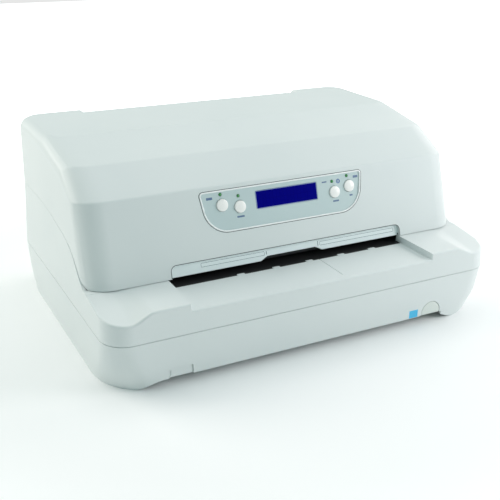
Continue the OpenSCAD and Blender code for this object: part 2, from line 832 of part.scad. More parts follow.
module slot_fascia() {
  half = fascia_half_w + 3;
  low = 0.6;
  notch_low_w = 64;
  notch_top_w = 52;
  notch_h = 4.2;
  color("white") on_facet() translate([fascia_mid_x, 0, -wall - 2.2]) linear_extrude(2.2)
    difference() {
      union() {
        block2([-half, 2.5], [half, fascia_h + 2]);
        block2([-half + 4, low], [half - 4, 4]);
      }
      // Notch for the edge of a card or book
      polygon([[-notch_low_w / 2 - 1, -1], [-notch_low_w / 2, low],
        [-notch_top_w / 2 - 1, notch_h - 1], [-notch_top_w / 2 + 1, notch_h],
        [notch_top_w / 2 - 1, notch_h], [notch_top_w / 2 + 1, notch_h - 1],
        [notch_low_w / 2, low], [notch_low_w / 2 + 1, -1]]);
    }
}

// ---- base fittings ----

module power_key() {
  y0 = front_y;
  color("whitesmoke") {
    along_y(y0, front_y + wall + 6) power_outline(0.4);
    // Flange behind the wall
    along_y(front_y + wall + play, front_y + wall + play + 1.2) polygon(concat(
      [[power_x + power_r + 0.8, arch_h + 0.4]],
      arc(power_x, power_top_z - power_r, power_r + 0.8, 0, 180, 32),
      [[power_x - power_r - 0.8, arch_h + 0.4]]));
  }
}

module power_switch() {
  y0 = front_y + wall + 6 + power_travel + play;
  color("dimgray") {
    block([power_x - 8, y0 + 2, floor_top], [power_x + 8, y0 + 14, floor_top + 14]);
    rod_y(y0, y0 + 3, power_x, floor_top + 6, 2);
  }
}

module port_cover() {
  color("whitesmoke") {
    difference() {
      along_y(front_y + 0.8, front_y + wall) port_outline(0.35);
      // Nick for a screwdriver
      block([port_x[0] + 1, front_y, port_top_z - 6.5],
        [port_x[0] + 1.9, front_y + 1.6, port_top_z - 2]);
    }
    // Retaining lip inside
    along_y(front_y + wall, front_y + wall + 1.2) port_lip();
  }
}

module port_lip() {
  polygon([[port_x[0] - 1, floor_top + play], [port_x[1] + 1, floor_top + play],
    [port_x[1] + 1, port_top_z + 1], [port_x[0] - 1, port_top_z + 1]]);
}

module front_label() {
  color("deepskyblue")
    block([label_x[0], front_y - 0.1, arch_h + 0.4], [label_x[1], front_y, arch_h + 8]);
}

module feet() {
  color("dimgray") for (x = [-1, 1], y = [-1, 1]) translate([x * foot_x, y * foot_y, 0]) {
    cylinder(r1 = 9, r2 = 10, h = 2);
    cylinder(r = 3, h = floor_top + 1);
    translate([0, 0, floor_top]) cylinder(r1 = 4, r2 = 2.6, h = 2);
  }
}

// ---- frames and paper path ----

// Outline of a side frame in the Y-Z plane
module frame_outline() {
  front = flank_back_y + 2;
  top = frame_top_z;
  polygon([[front, floor_top], [front, table_z - 4], [front + 9, top - 22], [front + 24, top - 4],
    [front + 32, top], [frame_back_y - 8, top], [frame_back_y, top - 8], [frame_back_y, floor_top]]);
}

// Side frame plate with its foot flange; flip is 1 on the right and -1 on the left
module side_frame(flip) {
  x0 = flip > 0 ? frame_x : -frame_x - frame_t;
  difference() {
    union() {
      along_x(x0, x0 + frame_t) frame_outline();
      // Foot flange, turned inwards
      block([flip > 0 ? frame_x - 14 : -frame_x - eps, flank_back_y + 4, floor_top],
        [flip > 0 ? frame_x + eps : -frame_x + 14, frame_back_y - 12, floor_top + frame_t]);
    }
    // Room for the feed motor in the right flange
    if (flip > 0)
      block([0, motor_y - feed_motor_w / 2 - 1, 0],
        [frame_x, motor_y + feed_motor_w / 2 + 1, floor_top + 8]);
    // Bores for bushes and shafts
    for (s = [[front_feed_y, feed_z], [rear_feed_y, feed_z]])
      rod_x(x0 - 1, x0 + frame_t + 1, s[0], s[1], bush_r + fit);
    for (s = [[front_feed_y, press_z], [rear_feed_y, press_z]])
      rod_x(x0 - 1, x0 + frame_t + 1, s[0], s[1], press_pin_r + fit);
    rod_x(x0 - 1, x0 + frame_t + 1, guide_y, guide_z, guide_r + fit);
    block([x0 - 1, rail_y - rail_w / 2 - 0.1, rail_z - 0.1],
      [x0 + frame_t + 1, rail_y + rail_w / 2 + 0.1, rail_z + rail_t + 0.1]);
    // Lightening windows
    for (w = frame_windows(flip))
      along_x(x0 - 1, x0 + frame_t + 1) round_rect(w[0], w[1], w[2], w[3], 5);
    for (p = screw_at) translate([p[0], p[1], floor_z]) cylinder(r = screw_r + 0.1, h = 12);
  }
}

// Lightening windows of a side frame, as [y, z, width, height]; the right one has the motor
function frame_windows(flip) =
  let (web = frame_back_y - rear_feed_y, mid = rear_feed_y + web / 2 + 3,
    rear = [[mid, 50, web * 0.515, 48], [mid + 4, cassette_z - 2.5, web * 0.455, 16]],
    front = [[front_feed_y - 8, 30, 30, 22], [(front_feed_y + rear_feed_y) / 2, 38, 44, 36]])
  flip > 0 ? rear : concat(front, rear);

module left_frame() {
  color("gainsboro") difference() {
    union() {
      side_frame(-1);
      // Bracket of the carriage motor
      block([-frame_x - eps, belt_y + 3.8, press_z + 4.4],
        [-pulley_x + carriage_motor_w / 2 + 2, belt_y + 5.8, belt_z + carriage_motor_w / 2 + 1]);
    }
    rod_y(belt_y, belt_y + 10, -pulley_x, belt_z, 5.6);
    for (x = [-1, 1], z = [-1, 1])
      rod_y(belt_y, belt_y + 10, -pulley_x + (carriage_motor_w / 2 - 4) * x,
        belt_z + (carriage_motor_w / 2 - 4) * z, 1.4);
  }
}

module right_frame() {
  color("gainsboro") difference() {
    union() {
      side_frame(1);
      // Bracket and stud of the return pulley
      block([pulley_x - 9, belt_y + 3.8, press_z + 4.4], [frame_x + eps, belt_y + 5.8, belt_z + 12]);
      rod_y(belt_y - 5, belt_y + 4, pulley_x, belt_z, motor_shaft_r);
      // Studs of the idler gears
      for (y = [idler_front_y, idler_rear_y])
        rod_x(frame_x + frame_t - eps, gear_x + gear_w + 1.5, y, idler_z, stud_r);
    }
    // Passage of the motor's boss and its screws
    rod_x(frame_x - 1, frame_x + frame_t + 1, motor_y, motor_z, 8);
    for (y = [-1, 1], z = [-1, 1])
      rod_x(frame_x - 1, frame_x + frame_t + 1, motor_y + (feed_motor_w / 2 - 4.5) * y,
        motor_z + (feed_motor_w / 2 - 4.5) * z, 1.6);
  }
}

// Folded cross bar: a web with two flanges
module cross_bar(y, z0, z1, depth) {
  x = frame_x - eps;
  block([-x, y, z0], [x, y + frame_t, z1]);
  block([-x, y, z1 - frame_t], [x, y + depth, z1]);
}

// Pitch of the holes along the cross bars
bar_pitch = (2 * frame_x - 44) / 8;

module front_bar() {
  color("gainsboro") difference() {
    cross_bar(flank_back_y + 5, 20, 56, 12);
    for (i = [-4 : 4]) rod_y(flank_back_y + 4, flank_back_y + 5 + frame_t + 1, i * bar_pitch, 36, 9);
  }
}

module rear_bar() {
  color("gainsboro") {
    difference() {
      union() {
        block([-frame_x + eps, cassette_y[0] + 8, cassette_z - frame_t],
          [frame_x - eps, frame_back_y - 2, cassette_z]);
        block([-frame_x + eps, frame_back_y - 4, cassette_z - 18.5],
          [frame_x - eps, frame_back_y - 2, cassette_z]);
      }
      for (i = [-3 : 3])
        translate([i * 44, cassette_mid_y + 2, cassette_z - frame_t - 1]) linear_extrude(frame_t + 2)
          round_rect(0, 0, 28, cassette_d * 0.41, 4);
    }
  }
}

module platen() {
  color("dimgray") difference() {
    along_x(-frame_x + eps, frame_x - eps) translate([print_y, table_z]) polygon([
      [-6, -15], [6, -15], [6, -11], [3, -8], [3, -3.5], [5, 0.1], [-5, 0.1],
      [-3, -3.5], [-3, -8], [-6, -11]]);
    // Channel along the underside
    along_x(-frame_x - 1, frame_x + 1) translate([print_y, table_z])
      polygon([[-3, -16], [3, -16], [3, -11], [-3, -11]]);
  }
}

module lower_guide() {
  half = frame_x - 1;
  color("silver") difference() {
    union() {
      block([-half, table_back_y + 0.3, guide_plate_z], [half, frame_back_y + 2, guide_plate_z + 1.5]);
      // Stiffening skirts
      for (y = [front_feed_y + 20, rear_feed_y - 20, rear_feed_y + 20])
        block([-half, y, guide_plate_z - 8], [half, y + 1.5, guide_plate_z + eps]);
      // Ears that rest against the frames
      for (s = [-1, 1], y = [front_feed_y + 20, rear_feed_y + 20])
        block([s > 0 ? half - 2 : -frame_x + eps, y, guide_plate_z - 8],
          [s > 0 ? frame_x - eps : -half + 2, y + 1.5, guide_plate_z]);
    }
    // Clear of the case beside the slot
    for (s = [-1, 1])
      block([s > 0 ? table_half_w - 0.5 : -body_w, -body_d, guide_plate_z - 1],
        [s > 0 ? body_w : -table_half_w + 0.5, flank_back_y + 0.5, table_z + 1]);
    // Notches for the table's fingers
    for (x = finger_xs)
      block([x - finger_w / 2 - play, table_back_y, guide_plate_z - 1],
        [x + finger_w / 2 + play, table_back_y + finger_l + play, table_z + 1]);
    // Platen window
    block([-frame_x, print_y - 6.5, guide_plate_z - 9], [frame_x, print_y + 6.5, table_z + 1]);
    // Tyre windows
    for (x = tyre_xs, y = [front_feed_y, rear_feed_y])
      translate([x, y, guide_plate_z - 1]) linear_extrude(4) round_rect(0, 0, tyre_w + 3, 16, 1.5);
  }
}

module upper_guide() {
  z0 = table_z + 2.9;
  color("silver") difference() {
    union() {
      block([-frame_x + eps, front_feed_y + 10, z0], [frame_x - eps, print_y - 10, z0 + 1.2]);
      block([-frame_x + eps, front_feed_y + 10, z0], [frame_x - eps, front_feed_y + 11.2, z0 + 7]);
      block([-frame_x + eps, rear_feed_y + 10, z0], [frame_x - eps, frame_back_y - 2, z0 + 1.2]);
      block([-frame_x + eps, rear_feed_y + 10, z0], [frame_x - eps, rear_feed_y + 11.2, z0 + 5]);
    }
    for (i = [-4 : 4])
      translate([i * 34, (rear_feed_y + frame_back_y) / 2 + 5, z0 - 1])
        linear_extrude(4) round_rect(0, 0, 18, (frame_back_y - rear_feed_y) * 0.455, 4);
  }
}

// Rod with clip grooves near its ends
module grooved_rod(x0, x1, y, z, r) {
  difference() {
    rod_x(x0, x1, y, z, r);
    for (x = [x0 + 2, x1 - 3])
      difference() {
        rod_x(x, x + 1, y, z, r + 1);
        rod_x(x - 1, x + 2, y, z, r - 0.8);
      }
  }
}

module feed_shaft(y) {
  grooved_rod(-frame_x - frame_t - 6, gear_x + gear_w + 4, y, feed_z, feed_shaft_r);
}

module front_feed_shaft() { color("silver") feed_shaft(front_feed_y); }
module rear_feed_shaft() { color("silver") feed_shaft(rear_feed_y); }

// Rubber tyres with a plastic-like hub shoulder
module feed_tyres(y) {
  for (x = tyre_xs) difference() {
    union() {
      rod_x(x - tyre_w / 2, x + tyre_w / 2, y, feed_z, tyre_r);
      rod_x(x - tyre_w / 2 - 2, x + tyre_w / 2 + 2, y, feed_z, feed_shaft_r + 2);
    }
    rod_x(x - tyre_w, x + tyre_w, y, feed_z, feed_shaft_r);
    // Grip grooves
    for (i = [-1, 0, 1]) difference() {
      rod_x(x + i * 3 - 0.4, x + i * 3 + 0.4, y, feed_z, tyre_r + 1);
      rod_x(x + i * 3 - 1, x + i * 3 + 1, y, feed_z, tyre_r - 0.6);
    }
  }
}

module front_feed_tyres() { color("dimgray") feed_tyres(front_feed_y); }
module rear_feed_tyres() { color("dimgray") feed_tyres(rear_feed_y); }

module pressure_roller(y) {
  color("gray") {
    rod_x(-frame_x - frame_t - 2, frame_x + frame_t + 1, y, press_z, press_pin_r);
    for (x = tyre_xs) {
      rod_x(x - tyre_w / 2, x + tyre_w / 2, y, press_z, press_r);
      rod_x(x - tyre_w / 2 - 1.5, x + tyre_w / 2 + 1.5, y, press_z, press_pin_r + 1.5);
    }
  }
}

module front_pressure_roller() { pressure_roller(front_feed_y); }
module rear_pressure_roller() { pressure_roller(rear_feed_y); }

// Flanged bushes of the feed shafts, pressed into the side frames
module shaft_bushes() {
  color("goldenrod") for (y = [front_feed_y, rear_feed_y], s = [-1, 1]) {
    difference() {
      union() {
        rod_x(s > 0 ? frame_x - 1.5 : -frame_x - frame_t, s > 0 ? frame_x + frame_t : -frame_x + 1.5,
          y, feed_z, bush_r);
        rod_x(s > 0 ? frame_x - 1.5 : -frame_x, s > 0 ? frame_x : -frame_x + 1.5,
          y, feed_z, bush_r + 2);
      }
      rod_x(-body_w, body_w, y, feed_z, feed_shaft_r + fit);
    }
  }
}

// ---- feed gears ----

function involute(a) = [cos(a) + a * PI / 180 * sin(a), sin(a) - a * PI / 180 * cos(a)];
function inv(a) = tan(a) * 180 / PI - a;
function turn(p, a) = [p[0] * cos(a) - p[1] * sin(a), p[0] * sin(a) + p[1] * cos(a)];

// Outline of an involute gear; a tooth is centred on the first axis
module gear_outline(teeth) {
  pitch_r = gear_module * teeth / 2;
  base_r = pitch_r * cos(gear_angle);
  tip_r = pitch_r + 0.8 * gear_module;
  root_r = pitch_r - 1.05 * gear_module;
  half_tooth = 90 / teeth - 0.1 / pitch_r * 180 / PI;
  from = sqrt(max(0, pow(max(root_r, base_r) / base_r, 2) - 1)) * 180 / PI;
  to = sqrt(pow(tip_r / base_r, 2) - 1) * 180 / PI;
  spread = half_tooth + inv(gear_angle);
  flank = [for (i = [0 : 5]) turn(base_r * involute(from + (to - from) * i / 5), -spread)];
  tooth = concat([turn([root_r, 0], -spread)], flank,
    [for (i = [5 : -1 : 0]) [flank[i][0], -flank[i][1]]], [turn([root_r, 0], spread)]);
  polygon([for (k = [0 : teeth - 1]) each [for (p = tooth) turn(p, 360 * k / teeth)]]);
}

// Gear on an axis along X; phase turns its first tooth from +Y towards +Z
module gear_x_axis(teeth, y, z, phase, bore_r, hub_r) {
  web_r = 8.8 * gear_module;
  difference() {
    union() {
      translate([gear_x, y, z]) rotate([90, 0, 90]) linear_extrude(gear_w)
        rotate(phase) gear_outline(teeth);
      rod_x(gear_x - 1.6, gear_x + gear_w + 1, y, z, hub_r);
    }
    rod_x(gear_x - 5, gear_x + gear_w + 5, y, z, bore_r);
    // Thin web between the hub and the rim
    if (teeth > 20) for (side = [0, 1]) difference() {
      x = side == 0 ? gear_x - 1 : gear_x + gear_w - 1.5;
      rod_x(x, x + 2.5, y, z, gear_module * teeth / 2 - 3.2);
      rod_x(x - 1, x + 4, y, z, hub_r);
    }
    // Round holes in the web
    if (teeth > 20) for (k = [0 : 4])
      rod_x(gear_x - 5, gear_x + gear_w + 5, y + web_r * cos(72 * k + phase),
        z + web_r * sin(72 * k + phase), 1.9);
  }
}

// Phase of a driven gear that meshes with a driver
function mesh_phase(direction, driver_phase, driver_teeth, teeth) =
  direction + 180 + 360 / teeth * (0.5 + (direction - driver_phase) * driver_teeth / 360);

function heading(y0, z0, y1, z1) = atan2(z1 - z0, y1 - y0);

front_phase = 0;
front_idler_phase = mesh_phase(heading(front_feed_y, feed_z, idler_front_y, idler_z),
  front_phase, big_teeth, big_teeth);
pinion_phase = mesh_phase(heading(idler_front_y, idler_z, motor_y, motor_z),
  front_idler_phase, big_teeth, pinion_teeth);
rear_idler_phase = mesh_phase(heading(motor_y, motor_z, idler_rear_y, idler_z),
  pinion_phase, pinion_teeth, big_teeth);
rear_phase = mesh_phase(heading(idler_rear_y, idler_z, rear_feed_y, feed_z),
  rear_idler_phase, big_teeth, big_teeth);

module front_feed_gear() {
  color("ivory") gear_x_axis(big_teeth, front_feed_y, feed_z, front_phase, feed_shaft_r, 6);
}

module rear_feed_gear() {
  color("ivory") gear_x_axis(big_teeth, rear_feed_y, feed_z, rear_phase, feed_shaft_r, 6);
}

module front_idler_gear() {
  color("ivory")
    gear_x_axis(big_teeth, idler_front_y, idler_z, front_idler_phase, stud_r + fit, 5.5);
}

module rear_idler_gear() {
  color("ivory")
    gear_x_axis(big_teeth, idler_rear_y, idler_z, rear_idler_phase, stud_r + fit, 5.5);
}

module motor_pinion() {
  color("goldenrod")
    gear_x_axis(pinion_teeth, motor_y, motor_z, pinion_phase, motor_shaft_r + fit, 4.2);
}

// ---- motors and carriage ----

// Stepping motor with chamfered corners, front face at the origin, shaft towards +Z
module step_motor(size, length, shaft, screws) {
  difference() {
    union() {
      linear_extrude_between(-length, -length + 6) chamfered(size, 4);
      linear_extrude_between(-length + 6 - eps, -7) chamfered(size - 1, 6);
      linear_extrude_between(-7 - eps, 0) chamfered(size, 4);
      cylinder(r = 5.4, h = 1.6);
      cylinder(r = motor_shaft_r, h = shaft);
    }
    for (x = [-1, 1], y = [-1, 1]) translate([x * screws, y * screws, -4]) cylinder(r = 1.4, h = 5);
  }
}

module linear_extrude_between(z0, z1) {
  translate([0, 0, z0]) linear_extrude(z1 - z0) children();
}

// Square with cut corners
module chamfered(size, cut) {
  h = size / 2;
  polygon([[h, -h + cut], [h, h - cut], [h - cut, h], [-h + cut, h], [-h, h - cut],
    [-h, -h + cut], [-h + cut, -h], [h - cut, -h]]);
}

module feed_motor() {
  color("dimgray") translate([frame_x, motor_y, motor_z]) rotate([0, 90, 0])
    step_motor(feed_motor_w, feed_motor_l, gear_x + gear_w + 2 - frame_x, feed_motor_w / 2 - 4.5);
}

module carriage_motor() {
  color("dimgray") translate([-pulley_x, belt_y + 5.8, belt_z]) rotate([90, 0, 0])
    step_motor(carriage_motor_w, carriage_motor_l, 11.5, carriage_motor_w / 2 - 4);
}

module carriage_shaft() {
  color("silver") grooved_rod(-frame_x - frame_t - 4, frame_x + frame_t + 4, guide_y, guide_z, guide_r);
}

module carriage_rail() {
  color("silver")
    block([-frame_x - frame_t, rail_y - rail_w / 2, rail_z],
      [frame_x + frame_t, rail_y + rail_w / 2, rail_z + rail_t]);
}

module carriage() {
  w = carriage_half_w;
  color("darkslategray") difference() {
    union() {
      // Bearing sleeve on the guide shaft
      rod_x(-w, w, guide_y, guide_z, guide_r + 3.5);
      block([-w, guide_y - 7, guide_z], [w, guide_y + 7, carriage_top_z]);
      // Deck that carries the print head
      block([-w, rail_y - 8, carriage_top_z - 1], [w, guide_y + 9, carriage_top_z + 3]);
      // Fork over the second rail
      block([-w, rail_y - 8, rail_z - play - 3], [w, rail_y - rail_w / 2 - play, carriage_top_z]);
      block([-w, rail_y - 8, rail_z - play - 3], [w, rail_y + 2, rail_z - play]);
      // Belt clamp above the upper run
      block([-10, guide_y + 6, belt_z + pulley_r + belt_t + play + 0.1],
        [10, belt_y + 3, belt_z + pulley_r + belt_t + play + 3.6]);
      // Ribs beside the head
      for (s = [-1, 1])
        block([s * (w - 1) - 1, rail_y - 4, carriage_top_z + 2],
          [s * (w - 1) + 1, guide_y + 6, carriage_top_z + 9]);
    }
    rod_x(-w - 1, w + 1, guide_y, guide_z, guide_r + fit);
    translate([0, print_y, 0]) cylinder(r = head_r + 0.1, h = 200);
    // Room under the rail fork's roof
    block([-w - 1, rail_y - rail_w / 2 - play, rail_z - play],
      [w + 1, rail_y + rail_w / 2 + play, rail_z + rail_t + play]);
  }
}

module print_head() {
  color("dimgray") translate([0, print_y, 0]) difference() {
    union() {
      // Body in the deck, with cooling fins above it
      translate([0, 0, 84]) cylinder(r = head_r, h = 36);
      for (i = [0 : 4]) translate([0, 0, carriage_top_z + 6 + i * 4]) cylinder(r = head_r + 3, h = 1.8);
      // Collar that rests on the deck
      translate([0, 0, carriage_top_z + 3]) cylinder(r = head_r + 2, h = 2);
      // Nose that guides the wires
      translate([0, 0, head_nose_z + 8]) cylinder(r1 = 6, r2 = 11, h = 84 - head_nose_z - 8 + eps);
      block([-4, -3, head_nose_z], [4, 3, 84]);
    }
    for (k = [0 : 8]) translate([0, -2.4 + k * 0.6, head_nose_z - 1]) cylinder(r = 0.15, h = 4);
    translate([0, 0, 116]) cylinder(r = 7, h = 10);
  }
}

// Toothed belt as a smooth loop around the two pulleys
module carriage_belt() {
  r = pulley_r + 0.1;
  color("black") translate([0, belt_y + 2.8, belt_z]) rotate([90, 0, 0]) linear_extrude(5.6)
    difference() {
      belt_loop(r + belt_t - 0.1);
      belt_loop(r);
    }
}

module belt_loop(r) {
  square([2 * pulley_x, 2 * r], center = true);
  for (s = [-1, 1]) translate([s * pulley_x, 0]) circle(r);
}

// Belt pulley with two flanges, in the middle of the belt
module belt_pulley(x) {
  color("gainsboro") difference() {
    union() {
      rod_y(belt_y - 3.2, belt_y + 3.2, x, belt_z, pulley_r);
      for (y = [belt_y - 4.2, belt_y + 2.9]) rod_y(y, y + 0.8, x, belt_z, pulley_r + 2);
    }
    rod_y(belt_y - 6, belt_y + 6, x, belt_z, motor_shaft_r + fit);
    // Tooth gaps
    for (k = [0 : 17]) rotate_about_y(x, belt_z, 20 * k)
      rod_y(belt_y - 2.8, belt_y + 2.8, x + pulley_r, belt_z, 0.5);
  }
}

// Turns children about an axis along Y through (x, z)
module rotate_about_y(x, z, a) {
  translate([x, 0, z]) rotate([0, a, 0]) translate([-x, 0, -z]) children();
}

module drive_pulley() { belt_pulley(-pulley_x); }
module return_pulley() { belt_pulley(pulley_x); }

// ---- ribbon ----

module ribbon_cassette() {
  z1 = cassette_z + cassette_h;
  color("dimgray") difference() {
    union() {
      // Case with round corners
      translate([0, cassette_mid_y, cassette_z])
        slab(2 * cassette_half_w, cassette_d, min(8, cassette_d / 3), cassette_h);
      // Arms that reach over the motor to the print line
      for (s = [-1, 1]) {
        a = s > 0 ? ribbon_arm_x - 4 : -ribbon_arm_x - 4;
        block([a, print_y - 8, z1 - 8], [a + 8, cassette_y[1] - 12, z1]);
        block([a, print_y - 8, table_z + 0.6], [a + 8, print_y + 8, z1]);
      }
    }
    // Sunk label field and pinch ridge on the lid
    translate([30, cassette_mid_y, z1 - 0.6]) slab(120, cassette_d * 0.545, min(3, cassette_d / 8), 2);
    translate([knob_at[0], knob_at[1], z1 - 10]) cylinder(r = 3 + fit, h = 12);
  }
}

module ribbon_band() {
  color("black")
    block([-ribbon_arm_x + 4, print_y - 6.5, table_z + 2.1],
      [ribbon_arm_x - 4, print_y + 6.5, table_z + 2.4]);
}

module ribbon_knob() {
  z1 = cassette_z + cassette_h;
  color("black") translate([knob_at[0], knob_at[1], 0]) {
    translate([0, 0, z1 - 8]) cylinder(r = 3, h = 10);
    translate([0, 0, z1 + play]) difference() {
      cylinder(r = 10, h = 8);
      for (k = [0 : 11]) rotate(30 * k) translate([10.6, 0, -1]) cylinder(r = 1.6, h = 10);
      translate([0, 0, 6.5]) cylinder(r = 6, h = 3);
    }
  }
}

// ---- scanner and electronics ----

module scan_bar() {
  y0 = flank_back_y + 5;
  z0 = table_z + 3;
  color("dimgray") {
    difference() {
      along_x(-frame_x + eps, frame_x - eps) translate([y0, z0]) polygon([[0, 9.5], [0, 1.5],
        [1.5, 0], [scan_w - 1, 0], [scan_w, 1.5], [scan_w, 13.5], [5, 13.5]]);
      block([-table_half_w, y0 + 3, z0 - 1], [table_half_w, y0 + scan_w - 3, z0 + 1.1]);
    }
    // Glass strip
    block([-table_half_w + 1, y0 + 3.3, z0], [table_half_w - 1, y0 + scan_w - 3.3, z0 + 1.11]);
  }
}

// Places of the main board's spacers
board_posts = [for (x = [board_x[0] + 5, board_x[1] - 5], y = [board_y[0] + 5, board_y[1] - 5])
  [x, y]];

// Chips, connectors and coils, from the board's middle and front edge, as
// [x, y, width, depth, height]
board_chips = [[-52, 26, 22, 22, 2], [-12, 32, 18, 12, 2.4], [18, 26, 26, 26, 2.6],
  [53, 26, 10, 22, 3], [-57, 62, 16, 10, 2], [-22, 62, 30, 8, 8], [58, 58, 30, 6, 9]];

module main_board() {
  top_z = floor_top + board_stand + board_t;
  color("darkgreen") {
    difference() {
      block([board_x[0], board_y[0], floor_top + board_stand], [board_x[1], board_y[1], top_z]);
      for (p = board_posts) translate([p[0], p[1], 0]) cylinder(r = 1.7, h = 30);
    }
    // Spacers
    for (p = board_posts) translate([p[0], p[1], floor_top]) difference() {
      cylinder(r = 3.2, h = board_stand + eps);
      translate([0, 0, -1]) cylinder(r = 1.7, h = 8);
    }
    translate([board_mid_x, board_y[0], top_z - 0.1]) {
      for (c = board_chips)
        translate([c[0] - c[2] / 2, c[1] - c[3] / 2, 0]) cube([c[2], c[3], c[4] + 0.1]);
      // Capacitors
      for (x = [28, 40, 52]) translate([x, 50, 0]) cylinder(r = 4, h = 12);
    }
  }
}

module power_supply() {
  color("silver") {
    difference() {
      block(psu_at, psu_at + psu_size);
      block(psu_at + [1, 1, 1], psu_at + psu_size - [1, 1, 1]);
      for (i = [0 : 9])
        rod_y(psu_at[1] - 1, psu_at[1] + psu_d + 6, psu_at[0] + 7.8 + i * (psu_w - 15.6) / 9,
          psu_at[2] + psu_h - 9, 2.4);
      for (i = [0 : 9])
        translate([psu_at[0] + 6 + i * (psu_w - 12) / 9, psu_at[1] + psu_d / 2, psu_at[2] + psu_h - 4])
          linear_extrude(10) round_rect(0, 0, 3, psu_d - 16, 1.4);
    }
  }
}

module mains_inlet() {
  y1 = back_y;
  color("black") difference() {
    union() {
      block([inlet_x - inlet_w / 2, y1 - 20, inlet_z - inlet_h / 2],
        [inlet_x + inlet_w / 2, y1 - 0.5, inlet_z + inlet_h / 2]);
      // Flange inside the wall
      block([inlet_x - 24, y1 - wall - 2, inlet_z - 11.5],
        [inlet_x + 24, y1 - wall, inlet_z + 6]);
      // Contact tabs
      for (x = [-7, 0, 7])
        block([inlet_x + x - 2, y1 - 27, inlet_z - 1], [inlet_x + x + 2, y1 - 19, inlet_z + 1]);
    }
    // Socket with its two cut corners
    along_y(y1 - 16, y1 + 5) translate([inlet_x, inlet_z])
      polygon([[-12, -7.5], [12, -7.5], [12, 3], [8, 7.5], [-8, 7.5], [-12, 3]]);
  }
}

module data_ports() {
  y1 = back_y;
  color("silver") for (s = sockets) {
    z0 = s[2];
    difference() {
      block([s[0] - s[1] / 2, y1 - 18, z0], [s[0] + s[1] / 2, y1 - 0.6, s[3]]);
      block([s[0] - s[1] / 2 + 1.4, y1 - 11, z0 + 1.4],
        [s[0] + s[1] / 2 - 1.4, y1 + 1, s[3] - 1.4]);
    }
    // Contact tongue
    block([s[0] - s[1] / 2 + 3, y1 - 11.1, (z0 + s[3]) / 2 - 1.4],
      [s[0] + s[1] / 2 - 3, y1 - 3, (z0 + s[3]) / 2 + 1.4]);
  }
}

module frame_screws() {
  color("silver") for (p = screw_at) translate([p[0], p[1], 0]) {
    translate([0, 0, floor_z - 1]) cylinder(r = screw_r, h = floor_t + frame_t + 1 + eps);
    translate([0, 0, floor_top + frame_t]) difference() {
      cylinder(r = 3.2, h = 2.2);
      translate([-2.2, -0.4, 1.2]) cube([4.4, 0.8, 2]);
      translate([-0.4, -2.2, 1.2]) cube([0.8, 4.4, 2]);
    }
  }
}

base_case();
upper_case();
top_cover();
panel_overlay();
lcd_window();
lcd_module();
panel_board();
key_1();
key_2();
key_3();
key_4();
status_lamps();
slot_fascia();
power_key();
power_switch();
port_cover();
front_label();
feet();
left_frame();
right_frame();
front_bar();
rear_bar();
platen();
lower_guide();
upper_guide();
front_feed_shaft();
front_feed_tyres();
front_feed_gear();
rear_feed_shaft();
rear_feed_tyres();
rear_feed_gear();
front_pressure_roller();
rear_pressure_roller();
shaft_bushes();
feed_motor();
motor_pinion();
front_idler_gear();
rear_idler_gear();
carriage_shaft();
carriage_rail();
carriage();
print_head();
carriage_belt();
drive_pulley();
return_pulley();
carriage_motor();
ribbon_cassette();
ribbon_band();
ribbon_knob();
scan_bar();
main_board();
power_supply();
mains_inlet();
data_ports();
hinge_pins();
frame_screws();
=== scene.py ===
import json
import math

import bmesh
import bpy
from mathutils import Matrix, Vector


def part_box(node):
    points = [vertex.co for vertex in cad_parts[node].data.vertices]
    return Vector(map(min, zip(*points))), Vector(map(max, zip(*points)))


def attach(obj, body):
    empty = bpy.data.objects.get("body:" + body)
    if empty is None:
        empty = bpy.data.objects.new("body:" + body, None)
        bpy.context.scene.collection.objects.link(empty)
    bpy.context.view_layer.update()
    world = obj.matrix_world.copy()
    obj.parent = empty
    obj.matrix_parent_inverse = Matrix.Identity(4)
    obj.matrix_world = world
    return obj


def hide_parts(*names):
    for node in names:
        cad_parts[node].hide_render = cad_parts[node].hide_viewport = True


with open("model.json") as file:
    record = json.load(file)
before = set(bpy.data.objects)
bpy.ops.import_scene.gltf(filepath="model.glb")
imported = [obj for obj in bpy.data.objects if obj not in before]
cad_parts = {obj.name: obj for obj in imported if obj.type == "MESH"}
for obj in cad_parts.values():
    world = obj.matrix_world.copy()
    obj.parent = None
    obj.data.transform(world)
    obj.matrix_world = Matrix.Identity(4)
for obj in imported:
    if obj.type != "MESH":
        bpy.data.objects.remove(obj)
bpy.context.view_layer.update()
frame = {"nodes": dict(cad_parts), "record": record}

mm = 0.001

# ---- Camera ------------------------------------------------------------------------------------
# The photograph is taken from the front left, a little above the printer, with a lens of
# about 59 mm. The place and the small roll come from the straight edges of the cases.
camera_azimuth = math.radians(-27.51)
camera_elevation = math.radians(22.15)
camera_roll = math.radians(0.59)
camera_target = Vector((3.39, 0, 43.06)) * mm
camera_distance = 830.23 * mm
sensor_width = 36.0
focal_share = 822.07 / 500

towards_camera = Vector((math.sin(camera_azimuth) * math.cos(camera_elevation),
                         -math.cos(camera_azimuth) * math.cos(camera_elevation),
                         math.sin(camera_elevation)))
camera_data = bpy.data.cameras.new("camera")
camera_data.sensor_width = sensor_width
camera_data.lens = focal_share * sensor_width
camera_data.clip_start = 0.02
camera = bpy.data.objects.new("camera", camera_data)
bpy.context.scene.collection.objects.link(camera)
camera.matrix_world = (
    Matrix.Translation(camera_target + towards_camera * camera_distance)
    @ towards_camera.to_track_quat("Z", "Y").to_matrix().to_4x4()
    @ Matrix.Rotation(camera_roll, 4, "Z"))
bpy.context.scene.camera = camera

# ---- Floor, backdrop and lights ----------------------------------------------------------------
# A studio floor that keeps the soft shadow and fades to pure white, with a pale grey backdrop past
# its far edge. Three broad soft boxes light the printer from above and behind, and a small one from
# the right front.
floor_white = 0.97
floor_half = 3.0
floor_fade_start = 0.30
floor_fade_end = 0.75


